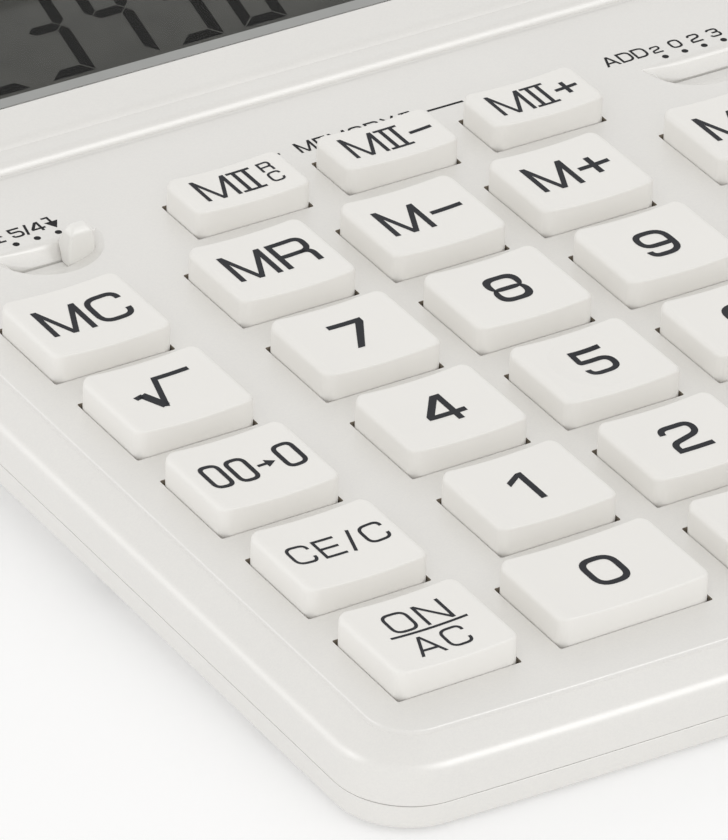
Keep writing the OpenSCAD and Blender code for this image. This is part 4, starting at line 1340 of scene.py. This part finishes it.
def make_panel_print():
    """Print on the panel: the positions of the selectors and the label of the second memory."""
    shapes = []
    dots_y, text_y, small = SCOOP_Y + 1.35, SCOOP_Y + 3.75, 2.4
    for k in range(3):
        shapes.append(dot_at(LEFT_X + (k - 1) * STEP, dots_y, 0.46))
    for k in range(6):
        shapes.append(dot_at(RIGHT_X + (k - 2.5) * STEP, dots_y, 0.46))
    shapes = [[[tuple(p) for p in loop] for loop in loops] for loops in shapes]
    shapes += moved(lay_out(["5", "/", "4"], 2.2, 0.04, 0.08), LEFT_X - 0.15, text_y)
    arrow = [stroke([(2.6, 5.1), (3.45, 5.1), (3.45, 3.9)], 0.17),
             area((2.5, 4.05), (4.4, 4.05), (3.45, 2.4))]
    arrow = [[[(p[0], p[1]) for p in loop] for loop in loops] for loops in arrow]
    turned = [[[(-1.08 - x, 7.76 - y) for x, y in loop] for loop in loops] for loops in arrow]
    shapes += moved(arrow + turned, LEFT_X, SCOOP_Y)
    shapes += moved(lay_out(["A", "D", "D"], small, 0.1, 0.072), RIGHT_X - 12.35, text_y)
    shapes += moved(lay_out(["2"], 1.75, 0, 0.085), RIGHT_X - 2.5 * STEP - 0.1, text_y - 0.3)
    for k, sign in enumerate(["0", "2", "3", "4", "F"]):
        shapes += moved(lay_out([sign], 2.1, 0, 0.08), RIGHT_X + (k - 1.5) * STEP - 0.1, text_y - 0.2)
    label_y = SMALL_Y + 8.6
    middle = col(2) + SMALL_SHIFT
    shapes += moved(lay_out(["M", "E", "M", "O", "R", "Y"], 2.5, 0.16, 0.07), middle - 0.5, label_y)
    shapes += moved(lay_out(["II"], 2.5, 0, 0.07), middle + 8.6, label_y)
    for x0, x1 in ((middle - 16.1, middle - 10.6), (middle + 11.5, middle + 16.9)):
        shapes.append([[(x0, label_y - 0.2), (x1, label_y - 0.2), (x1, label_y + 0.2), (x0, label_y + 0.2)]])
    print_on("print_panel", shapes, lambda x, y: SLAB_T + PRINT_LIFT, Matrix.Identity(4), "case", PANEL_INK,
             slices=0)


# Display

def pane(name, w, s, l):
    """A pane in its pocket, with softened upper edges."""
    piece = block(name, -w / 2, w / 2, s, s + l, -PANE_T - SUNK, -SUNK)
    soften(piece, 0.12, 2, lambda e, n: any(p.z > -SUNK - 0.01 for p in ends(piece, e)))
    piece.data.transform(FACE)
    shade(piece, 35)
    return piece


SEGMENTS = {"0": "abcdef", "1": "bc", "2": "abged", "3": "abgcd", "4": "fgbc", "5": "afgcd", "6": "afgedc",
            "7": "abcf", "8": "abcdefg", "9": "abcdfg"}
DIGIT_W = 6.5
DIGIT_LOW = 9.2
DIGIT_HIGH = 8.1
DIGIT_PITCH = 9.6
DIGIT_BAR = 0.82
DIGIT_SLANT = math.tan(math.radians(7))
DIGIT_X = -48.95
DIGIT_S = 11.7


def digit_shapes(sign):
    """Seven slanted segments with mitred ends and small gaps."""
    b, gap = DIGIT_BAR, 0.16
    x0, x1 = b, DIGIT_W - b
    y0, ym, y1 = b, b + DIGIT_LOW, b + DIGIT_LOW + DIGIT_HIGH
    level = [(x0 - b + gap, b), (x1 + b - gap, b), (x1 - b - gap, -b), (x0 + b + gap, -b)]
    upright = [(-b, -b - gap), (b, b - gap)]
    middle = [(x0 + 0.1, 0), (x0 + b + 0.1, -b), (x1 - b - 0.1, -b),
              (x1 - 0.1, 0), (x1 - b - 0.1, b), (x0 + b + 0.1, b)]

    def side(x, turn, end, way):
        line = [(x + turn * u, end + way * v) for u, v in upright]
        joint = ym + way * (b + gap)
        return line + [(x + turn * b, joint), (x, ym + way * gap), (x - turn * b, joint)]
    loops = {"a": [(x, y1 + y) for x, y in level], "d": [(x, y0 - y) for x, y in level],
             "g": [(x, ym + y) for x, y in middle], "b": side(x1, 1, y1, 1), "c": side(x1, 1, y0, -1),
             "f": side(x0, -1, y1, 1), "e": side(x0, -1, y0, -1)}
    return [[[(x + y * DIGIT_SLANT, y) for x, y in loops[letter]]] for letter in SEGMENTS[sign]]


def make_display():
    """The window with its printed border, the display glass with its digits, and the solar cells."""
    fit_out(pane("window_pane", WINDOW_W, WINDOW_S, WINDOW_L), "case", clear_pane(),
            ["display_window"])
    x, y0, y1 = WINDOW_W / 2 - BORDER_EDGE, WINDOW_S + BORDER_EDGE, WINDOW_S + WINDOW_L - BORDER_EDGE
    outer = [(-x, y0), (x, y0), (x, y1), (-x, y1)]
    x, y0, y1 = x - BORDER_W, y0 + BORDER_W, y1 - BORDER_W
    inner = [(-x, y0), (x, y0), (x, y1), (-x, y1)]
    print_on("print_window_border", [[outer, inner]], lambda px, py: PRINT_LIFT - SUNK, FACE, "case",
             BORDER_GREY, slices=0)
    glass = block("display_glass_plate", -WINDOW_W / 2 - 0.5, WINDOW_W / 2 + 0.5, WINDOW_S - 1.3,
                  WINDOW_S + WINDOW_L + 1.3, LCD_TOP - LCD_T, LCD_TOP)
    soften(glass, 0.2, 2, lambda e, n: True)
    glass.data.transform(FACE)
    shade(glass, 35)
    fit_out(glass, "case", display_glass(), ["lcd_panel"])
    shapes = []
    for k, sign in enumerate("123456789012"):
        shapes += moved(digit_shapes(sign), DIGIT_X - DIGIT_W / 2 + k * DIGIT_PITCH, DIGIT_S)
    print_on("display_digits", shapes, lambda x, y: LCD_TOP + INK_LIFT, FACE, "case",
             SEGMENT_BLACK, slices=0)
    fit_out(pane("solar_cell_plate", SOLAR_W, SOLAR_S, SOLAR_L), "case", solar_glass(),
            ["solar_panel"])


# Inner pieces keep their solids and get a finish

INNER_FINISHES = {
    "lcd_holder": INNER_PLASTIC, "lcd_screws": SCREW_STEEL, "lcd_ribbon": RIBBON_FILM,
    "solar_leads": LEAD_RED, "circuit_board": board_laminate(), "chip_blob": CHIP_BLACK,
    "capacitor": CAPACITOR_BLUE,
    "rubber_keymat": MAT_RUBBER, "button_cell": CELL_STEEL, "cell_contacts": CONTACT_BRASS,
    "rounding_wiper": CONTACT_BRASS, "decimal_wiper": CONTACT_BRASS, "case_screws": SCREW_STEEL,
    "board_screws": SCREW_STEEL}


def finish_inner_pieces():
    for name, finish in INNER_FINISHES.items():
        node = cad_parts[name]
        if node.material_slots:
            for holder in node.material_slots:
                holder.material = finish
        else:
            node.data.materials.append(finish)


# Stage, light and camera

CAMERA_AT = (-488.36, -634.60, 535.34)
CAMERA_TO = (-39.50, 65.05, SLAB_T)
LENS = 349.93
FLOOR_GLOW = 0.28
WORLD_LIGHT = 0.835


def set_stage():
    """A pale floor that keeps the object's shadow."""
    floor = add("floor", bpy.ops.mesh.primitive_plane_add, size=6.0, location=(0, 0, 0))
    finish = Finish("pale_floor", Roughness=0.8, Emission_Color=(1, 1, 1, 1), Emission_Strength=FLOOR_GLOW)
    cover = finish.group(GRAIN, Grain=300.0, Cloud=3.0)
    finish.feed("Base Color", finish.ramp(cover.outputs["Tone"], [
        (0.3, (0.71, 0.71, 0.71)), (0.7, (0.725, 0.725, 0.725))]))
    floor.data.materials.append(finish.material)
    return floor


def set_world():
    """Even light all round, and white where the background is seen or mirrored."""
    world = bpy.data.worlds.new("studio")
    bpy.context.scene.world = world
    world.use_nodes = True
    nodes, links = world.node_tree.nodes, world.node_tree.links
    light = nodes["Background"]
    light.inputs["Color"].default_value = (1, 0.995, 0.985, 1)
    light.inputs["Strength"].default_value = WORLD_LIGHT
    seen = nodes.new("ShaderNodeBackground")
    seen.inputs["Color"].default_value = (1, 1, 1, 1)
    rays = nodes.new("ShaderNodeLightPath")
    mix = nodes.new("ShaderNodeMixShader")
    source = rays.outputs["Is Camera Ray"]
    for kind in ("Is Glossy Ray", "Is Transmission Ray"):
        either = nodes.new("ShaderNodeMath")
        either.operation = "MAXIMUM"
        links.new(source, either.inputs[0])
        links.new(rays.outputs[kind], either.inputs[1])
        source = either.outputs["Value"]
    links.new(source, mix.inputs["Fac"])
    links.new(light.outputs["Background"], mix.inputs[1])
    links.new(seen.outputs["Background"], mix.inputs[2])
    links.new(mix.outputs["Shader"], nodes["World Output"].inputs["Surface"])


def softbox(name, toward, distance, size, power, diffuse=True, sheen=True):
    lamp = bpy.data.lights.new(name, "AREA")
    lamp.shape = "RECTANGLE"
    lamp.size, lamp.size_y = size
    lamp.energy = power
    place = bpy.data.objects.new(name, lamp)
    bpy.context.scene.collection.objects.link(place)
    place.location = Vector(toward).normalized() * distance
    place.rotation_euler = Vector(toward).to_track_quat("Z", "Y").to_euler()
    place.visible_diffuse = diffuse
    place.visible_glossy = sheen


def set_light():
    set_world()
    softbox("front_soft", (-0.5, -0.72, 0.45), 1.7, (2.0, 1.1), 4.0, sheen=False)
    softbox("rear_soft", (0.1, 0.85, 0.5), 2.0, (2.0, 1.4), 4.0, sheen=False)
    softbox("front_card", (0.457, -0.689, 0.562), 1.6, (0.8, 0.8), 10.0, diffuse=False)
    softbox("left_card", (-0.648, 0.712, 0.27), 1.6, (0.7, 0.6), 2.2, diffuse=False)
    softbox("front_corner_card", (0.13, -0.7, 0.65), 1.6, (0.8, 0.7), 4.5, diffuse=False)
    softbox("side_corner_card", (-0.8, 0.3, 0.5), 1.6, (0.7, 0.7), 6.0, diffuse=False)


def set_camera():
    """The photo's own view."""
    lens = bpy.data.cameras.new("photo_view")
    lens.lens = LENS
    lens.sensor_width = 36.0
    lens.clip_end = 20.0
    camera = bpy.data.objects.new("photo_view", lens)
    bpy.context.scene.collection.objects.link(camera)
    camera.location = STAND @ Vector(CAMERA_AT)
    aim = STAND @ Vector(CAMERA_TO) - camera.location
    camera.rotation_euler = aim.to_track_quat("-Z", "Y").to_euler()
    bpy.context.scene.camera = camera


bpy.context.scene.view_settings.view_transform = "Standard"
set_camera()
set_light()
set_stage()
make_top_case()
make_bottom_case()
make_feet()
make_keys()
make_knob("rounding_knob", "rounding_selector", "rounding_slider", LEFT_X + LEFT_RUN / 2 + KNOB_SHIFT)
make_knob("decimal_knob", "decimal_selector", "decimal_slider", RIGHT_X + RIGHT_RUN / 2 + KNOB_SHIFT)
make_legends()
make_panel_print()
make_display()
finish_inner_pieces()
